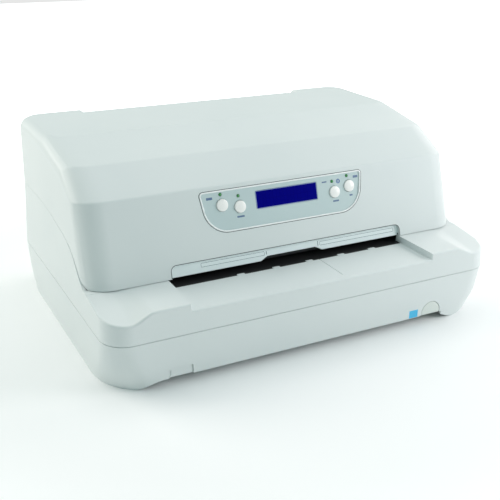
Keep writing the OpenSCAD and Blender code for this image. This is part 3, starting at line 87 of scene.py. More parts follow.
def link(piece):
    """Puts an object into the scene."""
    bpy.context.scene.collection.objects.link(piece)
    return piece


def mesh_piece(name, bm):
    """Turns a bmesh into an object at the origin."""
    mesh = bpy.data.meshes.new(name)
    bm.to_mesh(mesh)
    bm.free()
    return link(bpy.data.objects.new(name, mesh))


def node_material(name):
    """A new material with its node tree and its Principled shader."""
    material = bpy.data.materials.new(name)
    material.use_nodes = True
    return material, material.node_tree, material.node_tree.nodes["Principled BSDF"]


def feed(tree, node, given):
    """Gives each named input of a node its value, or links it to the socket given for it."""
    for name, value in given.items():
        if isinstance(value, bpy.types.NodeSocket):
            tree.links.new(value, node.inputs[name])
        else:
            node.inputs[name].default_value = value
    return node


def new_node(tree, kind, given, **settings):
    """A new shader node with its settings and its inputs."""
    node = tree.nodes.new("ShaderNode" + kind)
    for setting, value in settings.items():
        setattr(node, setting, value)
    return feed(tree, node, given)


def calculate(tree, operation, *terms):
    """The result of a calculation with numbers. Each term is a value or a socket."""
    return new_node(tree, "Math", dict(enumerate(terms)), operation=operation).outputs[0]


def calculate_vector(tree, operation, *terms):
    """The result of a calculation with vectors, a number only where it is a length."""
    node = new_node(tree, "VectorMath", dict(enumerate(terms)), operation=operation)
    return node.outputs["Value" if operation == "LENGTH" else "Vector"]


def object_place(tree):
    """The socket with the place in Object coordinates."""
    return tree.nodes.new("ShaderNodeTexCoord").outputs["Object"]


bm = bmesh.new()
bmesh.ops.create_grid(bm, x_segments=2, y_segments=2, size=floor_half)
floor = mesh_piece("studio_floor", bm)
floor_material, tree, shader = node_material("studio_floor")
reach = calculate_vector(tree, "LENGTH", object_place(tree))
fade = new_node(tree, "MapRange", {"Value": reach, "From Min": floor_fade_start,
                                   "From Max": floor_fade_end}, interpolation_type="SMOOTHSTEP")
paths = tree.nodes.new("ShaderNodeLightPath")
feed(tree, shader, {
    "Base Color": (floor_white, floor_white, floor_white, 1), "Roughness": 0.9,
    "Specular IOR Level": 0.1, "Emission Color": (1, 1, 1, 1),
    "Emission Strength": calculate(tree, "MULTIPLY", fade.outputs["Result"],
                                   paths.outputs["Is Camera Ray"])})
floor.data.materials.append(floor_material)

world_tone, world_strength = (0.78, 1.0, 0.99, 1), 0.44
world = bpy.data.worlds.new("studio")
bpy.context.scene.world = world
world.use_nodes = True
tree = world.node_tree
light = feed(tree, tree.nodes["Background"], {"Color": world_tone, "Strength": world_strength})
backdrop = new_node(tree, "Background", {"Strength": 1.0})
paths = tree.nodes.new("ShaderNodeLightPath")
seen = calculate(tree, "MAXIMUM", paths.outputs["Is Camera Ray"],
                 paths.outputs["Is Transmission Ray"])
choose = new_node(tree, "MixShader", {"Fac": seen, 1: light.outputs[0],
                                      2: backdrop.outputs[0]})
tree.links.new(choose.outputs[0], tree.nodes["World Output"].inputs["Surface"])


def soft_box(name, place, target, size, power, colour):
    """A rectangular lamp at a place that faces a target."""
    lamp = bpy.data.lights.new(name, "AREA")
    lamp.shape = "RECTANGLE"
    lamp.size, lamp.size_y = size
    lamp.energy = power
    lamp.color = colour
    lamp_object = link(bpy.data.objects.new(name, lamp))
    direction = Vector(place) - Vector(target)
    lamp_object.matrix_world = (Matrix.Translation(Vector(place))
                                @ direction.to_track_quat("Z", "Y").to_matrix().to_4x4())


printer_middle = (0, 0, 0.08)
soft_box("top_box", (0.0, 0.35, 1.7), printer_middle, (1.6, 1.2), 8.3, (1.0, 0.965, 0.965))
soft_box("rear_left_box", (-1.2, 1.1, 0.9), printer_middle, (1.2, 1.2), 17.2, (1.0, 0.93, 0.87))
soft_box("rear_right_box", (1.5, 0.5, 0.9), printer_middle, (1.2, 1.2), 8.0, (1.0, 0.88, 0.86))
soft_box("near_right_box", (0.75, -0.55, 0.45), printer_middle, (0.5, 0.5), 4.0, (1.0, 0.95, 0.97))

# ---- Base case ---------------------------------------------------------------------------------
# The lower half of the housing: a thin moulded tray of light cool-grey plastic with an arch cut
# under its front edge. It is an injection moulding with a fine even grain.
case_light = (0.735, 0.775, 0.770, 1)
case_dark = (0.705, 0.750, 0.748, 1)
case_grain = 0.55 * mm
case_grain_depth = 0.02 * mm


def new_group(name, inputs, outputs):
    """A new node group with its sockets, and its input and output nodes."""
    group = bpy.data.node_groups.new(name, "ShaderNodeTree")
    for socket_name, kind, value in inputs:
        socket = group.interface.new_socket(name=socket_name, in_out="INPUT",
                                            socket_type="NodeSocket" + kind)
        if value is not None:
            socket.default_value = value
    for socket_name, kind in outputs:
        group.interface.new_socket(name=socket_name, in_out="OUTPUT",
                                   socket_type="NodeSocket" + kind)
    return group, group.nodes.new("NodeGroupInput"), group.nodes.new("NodeGroupOutput")


def blend(tree, share, first, second):
    """A colour between two, from the first at a share of 0 to the second at 1."""
    node = new_node(tree, "MixRGB", {"Fac": share, "Color1": first, "Color2": second})
    return node.outputs["Color"]


def moulded_grain_group():
    """Fine grain of a textured mould with a faint drift of tone over the whole part."""
    group, given, result = new_group(
        "moulded_grain",
        (("Light", "Color", (0.8, 0.8, 0.8, 1)), ("Dark", "Color", (0.7, 0.7, 0.7, 1)),
         ("Grain per metre", "Float", 1800.0), ("Smoothest", "Float", 0.4),
         ("Roughest", "Float", 0.5)),
        (("Colour", "Color"), ("Roughness", "Float"), ("Height", "Float")))
    place = object_place(group)
    grain = new_node(group, "TexNoise", {"Vector": place, "Detail": 2, "Roughness": 0.6,
                                         "Scale": given.outputs["Grain per metre"]})
    drift = new_node(group, "TexNoise", {"Vector": place, "Detail": 3, "Scale": 9})
    mixed = calculate(group, "MULTIPLY_ADD", grain.outputs["Fac"], 0.25, drift.outputs["Fac"])
    spread = new_node(group, "MapRange", {"Value": mixed, "From Min": 0.3, "From Max": 0.7})
    rough = new_node(group, "MapRange", {"Value": grain.outputs["Fac"],
                                         "To Min": given.outputs["Smoothest"],
                                         "To Max": given.outputs["Roughest"]})
    feed(group, result, {"Colour": blend(group, spread.outputs["Result"], given.outputs["Dark"],
                                         given.outputs["Light"]),
                         "Roughness": rough.outputs["Result"], "Height": grain.outputs["Fac"]})
    return group


moulded_grain = moulded_grain_group()


def roughen(tree, shader, height, depth, strength=1.0):
    """Gives a shader a bump of a depth from a height between 0 and 1."""
    bump = new_node(tree, "Bump", {"Height": height, "Distance": depth, "Strength": strength})
    tree.links.new(bump.outputs["Normal"], shader.inputs["Normal"])


def moulded_plastic(name, light, dark, grain, depth, smoothest, roughest, coat=0.0):
    """A moulded plastic finish. grain is the size of its texture and depth how deep it lies."""
    material, tree, shader = node_material(name)
    finish = new_node(tree, "Group", {"Light": light, "Dark": dark, "Grain per metre": 1 / grain,
                                      "Smoothest": smoothest, "Roughest": roughest},
                      node_tree=moulded_grain)
    feed(tree, shader, {"Base Color": finish.outputs["Colour"],
                        "Roughness": finish.outputs["Roughness"], "Coat Weight": coat,
                        "Coat Roughness": 0.15})
    roughen(tree, shader, finish.outputs["Height"], depth, 0.6)
    return material


def smooth(piece, sharp):
    """Shades a piece smooth, apart from its edges of more than sharp degrees."""
    piece.data.shade_smooth()
    piece.data.set_sharp_from_angle(angle=math.radians(sharp))
    return piece


def crisp_copy(node, name, material, edge=0.4 * mm, segments=2, sharp=32, soft=None):
    """A merged copy of a CAD node with its sharp edges rounded, which stands for the node.

    edge is the width of the rounding, and 0 leaves the edges sharp. soft is a test of an edge's
    two ends and the wider radius that the edges that pass it get.
    """
    merge_reach, flat_angle, sharp_angle = 0.004 * mm, math.radians(0.4), math.radians(sharp)
    bm = bmesh.new()
    bm.from_mesh(frame["nodes"][node].data)
    bmesh.ops.remove_doubles(bm, verts=bm.verts, dist=merge_reach)
    bmesh.ops.dissolve_limit(bm, angle_limit=flat_angle, verts=bm.verts, edges=bm.edges,
                             delimit={"NORMAL"})
    if soft:
        chosen, radius = soft
        rounded = [e for e in bm.edges if len(e.link_faces) == 2
                   and e.calc_face_angle() > sharp_angle
                   and chosen(e.verts[0].co, e.verts[1].co)]
        bmesh.ops.bevel(bm, geom=rounded, offset=radius, offset_type="OFFSET", affect="EDGES",
                        segments=4, profile=0.5, clamp_overlap=False, material=-1)
    piece = smooth(mesh_piece(name, bm), sharp)
    if edge:
        bevel = piece.modifiers.new("edge", "BEVEL")
        bevel.width = edge
        bevel.segments = segments
        bevel.limit_method = "ANGLE"
        bevel.angle_limit = sharp_angle
    flat = piece.modifiers.new("flat_faces", "WEIGHTED_NORMAL")
    flat.keep_sharp = True
    flat.weight = 60
    piece.data.materials.clear()
    piece.data.materials.append(material)
    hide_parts(node)
    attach(piece, body_of[node])
    return piece


body_of = {node: body for body, nodes in frame["record"]["behaviour"]["bodies"].items()
           for node in nodes}

case_plastic = moulded_plastic("case_plastic", case_light, case_dark, case_grain,
                               case_grain_depth, 0.40, 0.52)
base_shell = crisp_copy("base_case", "base_shell", case_plastic, edge=0.6 * mm)

# The lower corners are drawn in to a wider radius, which fades out below the parting line. The
# faces are cut near the corners first, so that the long walls stay flat. The steps of the cuts
# are millimetres from the widest corner's middle, and their heights are shares of the fade.
widest, foot_radius, waist_radius, parting_radius = 50 * mm, 34 * mm, 30 * mm, 22 * mm
half_depth = 140 * mm
corner_x, corner_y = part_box("base_case")[1].x - widest, half_depth - widest
fade_height = 40 * mm
cut_steps = (0, 8, 16, 24, 32, 40)
cut_heights = (0.25, 0.5, 0.75)


def corner_reach(radius, angle):
    """Distance from the widest corner's middle to a corner of a radius, along an angle."""
    inset = widest - radius
    along = inset * (math.cos(angle) + math.sin(angle))
    arc = along + math.sqrt(max(along * along - 2 * inset * inset + radius * radius, 0))
    if arc * math.sin(angle) < inset:
        return widest / math.cos(angle)
    if arc * math.cos(angle) < inset:
        return widest / math.sin(angle)
    return arc


bm = bmesh.new()
bm.from_mesh(base_shell.data)
cuts = [((side * (corner_x + step * mm), 0, 0), (1, 0, 0)) for side in (-1, 1)
        for step in cut_steps]
cuts += [((0, side * (corner_y + step * mm), 0), (0, 1, 0)) for side in (-1, 1)
         for step in cut_steps]
cuts += [((0, 0, height * fade_height), (0, 0, 1)) for height in cut_heights]
for place, normal in cuts:
    bmesh.ops.bisect_plane(bm, geom=bm.verts[:] + bm.edges[:] + bm.faces[:], dist=0.001 * mm,
                           plane_co=place, plane_no=normal)
for vertex in bm.verts:
    past_x, past_y = abs(vertex.co.x) - corner_x, abs(vertex.co.y) - corner_y
    if past_x <= 0 or past_y <= 0:
        continue
    height = min(max(vertex.co.z / fade_height, 0), 1)
    made = foot_radius + (parting_radius - foot_radius) * height  # the solid's radius here
    if height < 0.5:
        wanted = widest + (waist_radius - widest) * height * 2
    else:
        wanted = waist_radius + (parting_radius - waist_radius) * (height * 2 - 1)
    angle = math.atan2(past_y, past_x)
    share = corner_reach(wanted, angle) / corner_reach(made, angle)
    vertex.co.x = math.copysign(corner_x + past_x * share, vertex.co.x)
    vertex.co.y = math.copysign(corner_y + past_y * share, vertex.co.y)
bm.to_mesh(base_shell.data)
bm.free()
smooth(base_shell, 32)

# ---- Upper case --------------------------------------------------------------------------------
# The upper half of the housing: the raised front lip, the sunk paper table, the side walls that
# rise behind the cover's seam and the rear deck. It is moulded in the same plastic as the base.
case_low, case_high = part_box("upper_case")
rim_corner, rim_radius = 22 * mm, 1.9 * mm
# The rim's ends lie above a lowest height and within a reach of the case's outline
rim_lowest, rim_reach, rim_corner_reach = 60.8 * mm, 1.6 * mm, 2 * mm
rim_middle = Vector((case_high.x - rim_corner, -case_low.y - rim_corner))


def on_front_rim(*ends):
    """Whether an edge runs along the top of the front lip or round one of its two corners."""
    for end in ends:
        past = Vector((abs(end.x), -end.y)) - rim_middle
        if past.x > 0 and past.y > 0:
            outside = past.length > rim_corner - rim_corner_reach
        else:
            outside = past.y > rim_corner - rim_reach
        if not outside or end.z <= rim_lowest:
            return False
    return True


crisp_copy("upper_case", "upper_shell", case_plastic, edge=0.7 * mm,
           soft=(on_front_rim, rim_radius))

# ---- Top cover ---------------------------------------------------------------------------------
# The hinged hood, one large thin moulding with a sloped front. It has the same grain as the case.
# Its flanks are drawn out by a little over two millimetres to lie nearly flush with the case.
cover_plastic = moulded_plastic("cover_plastic", case_light, case_dark, case_grain,
                                case_grain_depth, 0.38, 0.50)
cover_shell = crisp_copy("top_cover", "cover_shell", cover_plastic, edge=0.5 * mm)
flank_start, flank_end, flank_step = 164 * mm, 187 * mm, 2.2 * mm
for vertex in cover_shell.data.vertices:
    share = (abs(vertex.co.x) - flank_start) / (flank_end - flank_start)
    vertex.co.x += math.copysign(flank_step * min(max(share, 0), 1), vertex.co.x)
cover_shell.data.update()

# ---- Operator panel ----------------------------------------------------------------------------
# A printed film of cool grey in a D-shaped recess of the cover's front facet, with plain marks
# beside the keys and lamps. A raised white bead runs round the recess, and a thin dark ring of
# painted shade outside it stands in for the shadow at the recess's edge.

# The facet has its own axes: X along it, Y up it and Z out of it
facet_foot = Vector((0, -89.0, 70.0)) * mm
facet_top = Vector((0, -68.5, 139.5)) * mm
facet_up = (facet_top - facet_foot).normalized()
facet_out = Vector((1, 0, 0)).cross(facet_up)
on_facet = Matrix((
    (1, facet_up.x, facet_out.x, facet_foot.x),
    (0, facet_up.y, facet_out.y, facet_foot.y),
    (0, facet_up.z, facet_out.z, facet_foot.z),
    (0, 0, 0, 1)))
panel_half_width = 83.5 * mm
panel_taper = 5.64 * mm
panel_low, panel_high = 31.8 * mm, 68.8 * mm
panel_floor = -1.5 * mm
film_thickness = 0.8 * mm
film_top = panel_floor + film_thickness
# Marks on the film: middle and half size along the facet in millimetres
panel_marks = (((-73.6, 62.6), (2.9, 1.1)), ((-45.4, 43.4), (3.6, 0.75)),
               ((42.7, 62.1), (2.6, 0.6)), ((53.4, 43.4), (3.2, 0.75)),
               ((70.4, 46.6), (1.7, 0.75)), ((76.9, 63.2), (2.6, 1.1)))


def facet_place_group():
    """Place on the facet: X along it, Y up it and Z out of it, from its lower edge."""
    group, _, result = new_group("facet_place", (), (("Place", "Vector"),))
    from_foot = calculate_vector(group, "SUBTRACT", object_place(group), facet_foot)
    upright = new_node(group, "VectorRotate",
                       {"Vector": from_foot, "Angle": -math.atan2(facet_up.z, facet_up.y)},
                       rotation_type="X_AXIS")
    feed(group, result, {"Place": upright.outputs["Vector"]})
    return group


def box_distance_group():
    """Signed distance in the X-Y plane from a box with round corners, below zero inside it."""
    group, given, result = new_group(
        "box_distance",
        (("Place", "Vector", None), ("Middle", "Vector", None), ("Half size", "Vector", None),
         ("Radius", "Float", None)), (("Distance", "Float"),))
    radius = given.outputs["Radius"]
    offset = calculate_vector(group, "SUBTRACT", given.outputs["Place"], given.outputs["Middle"])
    corner = new_node(group, "CombineXYZ", {"X": radius, "Y": radius})
    core = calculate_vector(group, "SUBTRACT", given.outputs["Half size"],
                            corner.outputs["Vector"])
    past = calculate_vector(group, "SUBTRACT", calculate_vector(group, "ABSOLUTE", offset), core)
    flat = calculate_vector(group, "MULTIPLY", past, (1, 1, 0))
    outside = calculate_vector(group, "MAXIMUM", flat, (0, 0, 0))
    parts = new_node(group, "SeparateXYZ", {"Vector": past})
    larger = calculate(group, "MAXIMUM", parts.outputs["X"], parts.outputs["Y"])
    total = calculate(group, "ADD", calculate_vector(group, "LENGTH", outside),
                      calculate(group, "MINIMUM", larger, 0.0))
    feed(group, result, {"Distance": calculate(group, "SUBTRACT", total, radius)})
    return group


facet_place = facet_place_group()
box_distance = box_distance_group()


def place_on_facet(tree):
    """The socket with the place on the facet."""
    return new_node(tree, "Group", {}, node_tree=facet_place).outputs["Place"]


def print_marks(material, shapes, ink):
    """Prints shapes on a facet piece: each has a middle, a half size, a radius and a line width.

    All are in millimetres, and a line width of zero prints the whole shape.
    """
    tree = material.node_tree
    shader = tree.nodes["Principled BSDF"]
    place = place_on_facet(tree)
    colour = shader.inputs["Base Color"].links[0].from_socket
    for middle, half, radius, line in shapes:
        shape = new_node(tree, "Group", {
            "Place": place, "Middle": (middle[0] * mm, middle[1] * mm, 0),
            "Half size": (half[0] * mm, half[1] * mm, 0), "Radius": radius * mm},
            node_tree=box_distance)
        distance = shape.outputs["Distance"]
        if line:
            distance = calculate(tree, "ABSOLUTE", distance)
        colour = blend(tree, calculate(tree, "LESS_THAN", distance, line * mm / 2), colour, ink)
    feed(tree, shader, {"Base Color": colour})


def lay(piece, placement):
    """Applies a placement to a finished mesh, so that its object stays at the origin."""
    piece.data.transform(placement)
    piece.data.update()
    return piece


def dress(piece, material, body):
    """Gives a new piece its finish and the body it rides on."""
    piece.data.materials.clear()
    piece.data.materials.append(material)
    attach(piece, body)
    return piece


def rounded_polygon(bm, corners, radii, segments=10):
    """A flat face through the corners, each rounded to its radius."""
    points = [bm.verts.new((x, y, 0)) for x, y in corners]
    bm.faces.new(points)
    for point, radius in zip(points, radii):
        bmesh.ops.bevel(bm, geom=[point], offset=radius, offset_type="OFFSET", affect="VERTICES",
                        segments=segments, profile=0.5, material=-1)
    return bm.faces[:][0]


def raised_ring(name, corners, radii, width, low, high, soften):
    """A bead that follows a rounded outline, between two heights, with a rounded top."""
    bm = bmesh.new()
    face = rounded_polygon(bm, corners, radii)
    bmesh.ops.inset_region(bm, faces=[face], thickness=width, use_boundary=True,
                           use_even_offset=True)
    bmesh.ops.delete(bm, geom=[face], context="FACES_ONLY")
    raised = bmesh.ops.extrude_face_region(bm, geom=bm.faces[:])
    top = [v for v in raised["geom"] if isinstance(v, bmesh.types.BMVert)]
    bmesh.ops.translate(bm, verts=top, vec=(0, 0, high - low))
    bmesh.ops.translate(bm, verts=bm.verts, vec=(0, 0, low))
    bmesh.ops.recalc_face_normals(bm, faces=bm.faces)
    same_height, steep = 0.0001 * mm, 0.7
    rim = [e for e in bm.edges if all(abs(v.co.z - high) < same_height for v in e.verts)
           and abs(e.calc_face_angle(0)) > steep]
    bmesh.ops.bevel(bm, geom=rim, offset=soften, affect="EDGES", segments=3, profile=0.5,
                    material=-1)
    return smooth(mesh_piece(name, bm), 50)


def rubber(name, colour, bloom):
    """A matt rubber with a fine bloom. bloom is the paler tone that lies on it."""
    material, tree, shader = node_material(name)
    patches = new_node(tree, "TexNoise", {"Vector": object_place(tree), "Scale": 220, "Detail": 4})
    feed(tree, shader, {"Base Color": blend(tree, patches.outputs["Fac"], colour, bloom),
                        "Roughness": 0.72})
    roughen(tree, shader, patches.outputs["Fac"], 0.03 * mm)
    return material


panel_film = moulded_plastic("panel_film", (0.560, 0.665, 0.670, 1), (0.545, 0.650, 0.660, 1),
                             0.3 * mm, 0.004 * mm, 0.34, 0.42, coat=0.2)
print_marks(panel_film, [(middle, half, 0.3, 0) for middle, half in panel_marks],
            (0.12, 0.19, 0.33, 1))
print_marks(panel_film, [((57.6, 61.2), (1.7, 1.7), 1.7, 0.9), ((57.6, 61.2), (0.7, 0.7), 0.7, 0)],
            (0.05, 0.13, 0.36, 1))
crisp_copy("panel_overlay", "panel_film_sheet", panel_film, edge=0.15 * mm)

bead_fit = 0.998
bead_corners = [(panel_half_width, panel_high), (-panel_half_width, panel_high),
                (-panel_half_width + panel_taper, panel_low),
                (panel_half_width - panel_taper, panel_low)]
bead = raised_ring("panel_bead", [(x * bead_fit, y) for x, y in bead_corners],
                   (4 * mm, 4 * mm, 20 * mm, 20 * mm), width=1.35 * mm, low=film_top,
                   high=film_top + 1.15 * mm, soften=0.45 * mm)
bead_white = moulded_plastic("bead_white", (0.98, 0.985, 0.985, 1), (0.96, 0.97, 0.97, 1),
                             0.4 * mm, 0.004 * mm, 0.18, 0.25, coat=0.6)
dress(lay(bead, on_facet), bead_white, "cover")
# A thin dark grey ring outside the bead is painted shade, for the shadow at the edge of the recess
panel_painted_shade_ring_width = 0.55 * mm
painted_shade_ring_foot, painted_shade_ring_top, painted_shade_ring_soften = -0.4 * mm, 0.06 * mm, 0.02 * mm
painted_shade_ring = raised_ring("panel_painted_shade_ring", [(x * (1 + panel_painted_shade_ring_width / abs(x)),
                                   y + panel_painted_shade_ring_width * side)
                                  for (x, y), side in zip(bead_corners, (1, 1, -1, -1))],
                   (4.5 * mm, 4.5 * mm, 20.5 * mm, 20.5 * mm), panel_painted_shade_ring_width, painted_shade_ring_foot,
                   painted_shade_ring_top, painted_shade_ring_soften)
painted_shade_ring_grey = rubber("painted_shade_ring_grey", (0.085, 0.100, 0.105, 1), (0.120, 0.135, 0.140, 1))
dress(lay(painted_shade_ring, on_facet), painted_shade_ring_grey, "cover")

# ---- Display -----------------------------------------------------------------------------------
# The tinted window of a two-line character display. The display is off and shows deep blue, and
# the grid of its characters only just shows through.
display_middle = Vector((2.6, 55.5)) * mm
character_width, character_height = 3.55 * mm, 6.4 * mm

display, tree, shader = node_material("display")
from_middle = calculate_vector(tree, "SUBTRACT", place_on_facet(tree),
                               (display_middle.x, display_middle.y, 0))
cells = new_node(tree, "TexBrick", {
    "Vector": from_middle, "Scale": 1.0, "Brick Width": character_width,
    "Row Height": character_height, "Mortar Size": 0.25 * mm,
    "Color1": (0.0005, 0.0003, 0.200, 1), "Color2": (0.0005, 0.0004, 0.216, 1),
    "Mortar": (0.0003, 0.0001, 0.180, 1)}, offset=0.0)
feed(tree, shader, {"Base Color": cells.outputs["Color"], "Roughness": 0.22,
                    "Specular IOR Level": 0.04})
print_marks(display, [((2.6, 55.5), (31.5, 8.0), 0.4, 1.0)], (0.30, 0.36, 0.62, 1))
crisp_copy("lcd_window", "display_window", display, edge=0.2 * mm)

# ---- Keys and lamps ----------------------------------------------------------------------------
# Four round white caps with domed faces, and four small green lamps with clear domes above
# them. The caps sit in a fine dark gap.
key_plastic = moulded_plastic("key_plastic", (0.985, 0.965, 0.94, 1), (0.965, 0.945, 0.92, 1),
                              0.4 * mm, 0.004 * mm, 0.24, 0.32, coat=0.4)
for number in (1, 2, 3, 4):
    crisp_copy(f"key_{number}", f"key_cap_{number}", key_plastic, edge=0.45 * mm, segments=4,
               sharp=25)
lamp_green, tree, shader = node_material("lamp_green")
finish = new_node(tree, "Group", {
    "Light": (0.050, 0.290, 0.080, 1), "Dark": (0.035, 0.220, 0.055, 1), "Smoothest": 0.1,
    "Roughest": 0.16}, node_tree=moulded_grain)
feed(tree, shader, {"Base Color": finish.outputs["Colour"],
                    "Roughness": finish.outputs["Roughness"], "Coat Weight": 0.6,
                    "Coat Roughness": 0.05})
crisp_copy("status_lamps", "lamp_lenses", lamp_green, edge=0.1 * mm)

# ---- Slot fascia -------------------------------------------------------------------------------
# The white strip over the paper slot, with a notch for the edge of a card. It is set back behind
# the facet, and fine grey lines are printed on it that show where the paper goes.
fascia_white = moulded_plastic("fascia_white", (0.83, 0.90, 0.905, 1), (0.81, 0.88, 0.89, 1),
                               0.5 * mm, 0.006 * mm, 0.32, 0.42, coat=0.1)
guide_line = 0.32
print_marks(fascia_white, [((-57.0, 7.0), (31.0, 1.7), 0.6, guide_line),
                           ((73.5, 6.6), (41.5, 1.7), 0.6, guide_line),
                           ((-24.0, 7.2), (0.35, 1.5), 0.1, 0),
                           ((30.0, 7.0), (0.35, 2.2), 0.1, 0)], (0.17, 0.23, 0.27, 1))
crisp_copy("slot_fascia", "fascia_strip", fascia_white, edge=0.3 * mm)

# A fine dark ring of painted shade follows the fascia's window down to the cover's lower edge, and
# stands in for the shadow under the edge of the recess
window_half, window_top, window_low, painted_shade_ring_end = 118.5 * mm, 11.0 * mm, -7.0 * mm, 0.4 * mm
window_middle, fascia_painted_shade_ring_width = 2.0 * mm, 0.6 * mm
painted_shade_ring_right = window_middle + window_half + fascia_painted_shade_ring_width
painted_shade_ring_left = window_middle - window_half - fascia_painted_shade_ring_width
painted_shade_ring_high = window_top + fascia_painted_shade_ring_width
fascia_painted_shade_ring = raised_ring("fascia_painted_shade_ring", [(painted_shade_ring_right, painted_shade_ring_high), (painted_shade_ring_left, painted_shade_ring_high),
                                          (painted_shade_ring_left, window_low), (painted_shade_ring_right, window_low)],
                          (5.6 * mm, 5.6 * mm, 1 * mm, 1 * mm), fascia_painted_shade_ring_width, painted_shade_ring_foot,
                          painted_shade_ring_top, painted_shade_ring_soften)
bm = bmesh.new()
bm.from_mesh(fascia_painted_shade_ring.data)
bmesh.ops.bisect_plane(bm, geom=bm.verts[:] + bm.edges[:] + bm.faces[:],
                       plane_co=(0, painted_shade_ring_end, 0), plane_no=(0, 1, 0), clear_inner=True)
bm.to_mesh(fascia_painted_shade_ring.data)
bm.free()
dress(lay(fascia_painted_shade_ring, on_facet), painted_shade_ring_grey, "cover")

# ---- Power key, blank cover and label ----------------------------------------------------------
# A large half-round white key at the right of the front edge, a blank cover over an unused
# opening at the left, and a small plain blue label beside the key.
power_white = moulded_plastic("power_white", (0.71, 0.755, 0.715, 1), (0.69, 0.735, 0.695, 1),
                              0.4 * mm, 0.005 * mm, 0.28, 0.36, coat=0.3)
crisp_copy("power_key", "power_key_cap", power_white, edge=0.7 * mm, segments=3)
crisp_copy("port_cover", "blank_cover", case_plastic, edge=0.3 * mm)
label_blue = moulded_plastic("label_blue", (0.052, 0.525, 0.86, 1), (0.048, 0.495, 0.82, 1),
                             0.3 * mm, 0.002 * mm, 0.3, 0.36, coat=0.5)
crisp_copy("front_label", "label_square", label_blue, edge=0)

# ---- Shelf corners -----------------------------------------------------------------------------
# Two small ledges that close the openings under the cover's round corners, moulded with the upper
# case in its plastic. Each lies between a side plate and the case's wall, with rounded edges. They
# have no solid in the frame.
ledge_top, ledge_thickness = 69.45 * mm, 2.2 * mm
ledge_inner, ledge_outer = 169.8 * mm, 188.5 * mm
ledge_front, ledge_rear = -85.0 * mm, -62.0 * mm
for side, name in ((-1, "left_shelf_corner"), (1, "right_shelf_corner")):
    bm = bmesh.new()
    ledge = rounded_polygon(bm, [(side * x, y) for x, y in
                                 ((ledge_inner, ledge_front), (ledge_outer, ledge_front),
                                  (ledge_outer, ledge_rear), (ledge_inner, ledge_rear))],
                            (0.6 * mm, 0.6 * mm, 6 * mm, 3 * mm), segments=5)
    lowered = bmesh.ops.extrude_face_region(bm, geom=[ledge])
    bmesh.ops.translate(bm, verts=[v for v in lowered["geom"] if isinstance(v, bmesh.types.BMVert)],
                        vec=(0, 0, -ledge_thickness))
    bmesh.ops.translate(bm, verts=bm.verts, vec=(0, 0, ledge_top))
    bmesh.ops.recalc_face_normals(bm, faces=bm.faces)
    rim = [e for e in bm.edges if all(v.co.y > ledge_front + 2 * mm for v in e.verts)
           and e.calc_face_angle(0) > 1]
    bmesh.ops.bevel(bm, geom=rim, offset=0.5 * mm, affect="EDGES", segments=3, profile=0.5,
                    material=-1)
    dress(smooth(mesh_piece(name, bm), 40), case_plastic, "root")

# ---- Feet --------------------------------------------------------------------------------------
# Four soft round feet of moulded dark grey rubber. Each has a plug with a wider head that is
# pushed through a hole in the floor and holds it there.
foot_rubber = rubber("foot_rubber", (0.022, 0.022, 0.023, 1), (0.040, 0.040, 0.041, 1))
crisp_copy("feet", "rubber_feet", foot_rubber, edge=0.5 * mm)

# ---- Side frames, cross bars and guide plates --------------------------------------------------
# The chassis: two side plates, two folded cross bars and the two plates that lead the paper. All
# are punched and folded steel sheet. What lies along the slot is painted black, and this black also
# stands in for the painted shade deep in the slot. The rest is zinc-plated, with rolling lines
# along the sheet.
def metal_finish_group():
    """Drawn or rolled lines along X with cloudy patches, as a mask, a roughness and a height."""
    group, given, result = new_group(
        "metal_finish",
        (("Lines per metre", "Float", 2500.0), ("Smoothest", "Float", 0.2),
         ("Roughest", "Float", 0.4)),
        (("Mask", "Float"), ("Roughness", "Float"), ("Height", "Float")))
    place = object_place(group)
    stretched = new_node(group, "Mapping", {"Vector": place, "Scale": (0.03, 1, 1)})
    lines = new_node(group, "TexNoise", {"Vector": stretched.outputs["Vector"], "Detail": 3,
                                         "Scale": given.outputs["Lines per metre"]})
    clouds = new_node(group, "TexNoise", {"Vector": place, "Scale": 45, "Detail": 4})
    both = calculate(group, "MULTIPLY_ADD", lines.outputs["Fac"], 0.35,
                     calculate(group, "MULTIPLY", clouds.outputs["Fac"], 0.65))
    rough = new_node(group, "MapRange", {"Value": both, "To Min": given.outputs["Smoothest"],
                                         "To Max": given.outputs["Roughest"]})
    feed(group, result, {"Mask": both, "Roughness": rough.outputs["Result"],
                         "Height": lines.outputs["Fac"]})
    return group


metal_finish = metal_finish_group()


def metal(name, bright, dull, lines, depth, smoothest, roughest):
    """A bare or plated metal. lines is the spacing of its drawn lines and depth their depth."""
    material, tree, shader = node_material(name)
    finish = new_node(tree, "Group", {"Lines per metre": 1 / lines, "Smoothest": smoothest,
                                      "Roughest": roughest}, node_tree=metal_finish)
    feed(tree, shader, {"Base Color": blend(tree, finish.outputs["Mask"], dull, bright),
                        "Roughness": finish.outputs["Roughness"], "Metallic": 1.0})
    roughen(tree, shader, finish.outputs["Height"], depth, 0.5)
    return material


zinc_sheet = metal("zinc_sheet", (0.66, 0.68, 0.69, 1), (0.50, 0.52, 0.54, 1), 0.6 * mm,
                   0.006 * mm, 0.28, 0.46)
for node, name in (("left_frame", "left_side_plate"), ("right_frame", "right_side_plate"),
                   ("rear_bar", "rear_cross_bar")):
    crisp_copy(node, name, zinc_sheet, edge=0.15 * mm, segments=1)
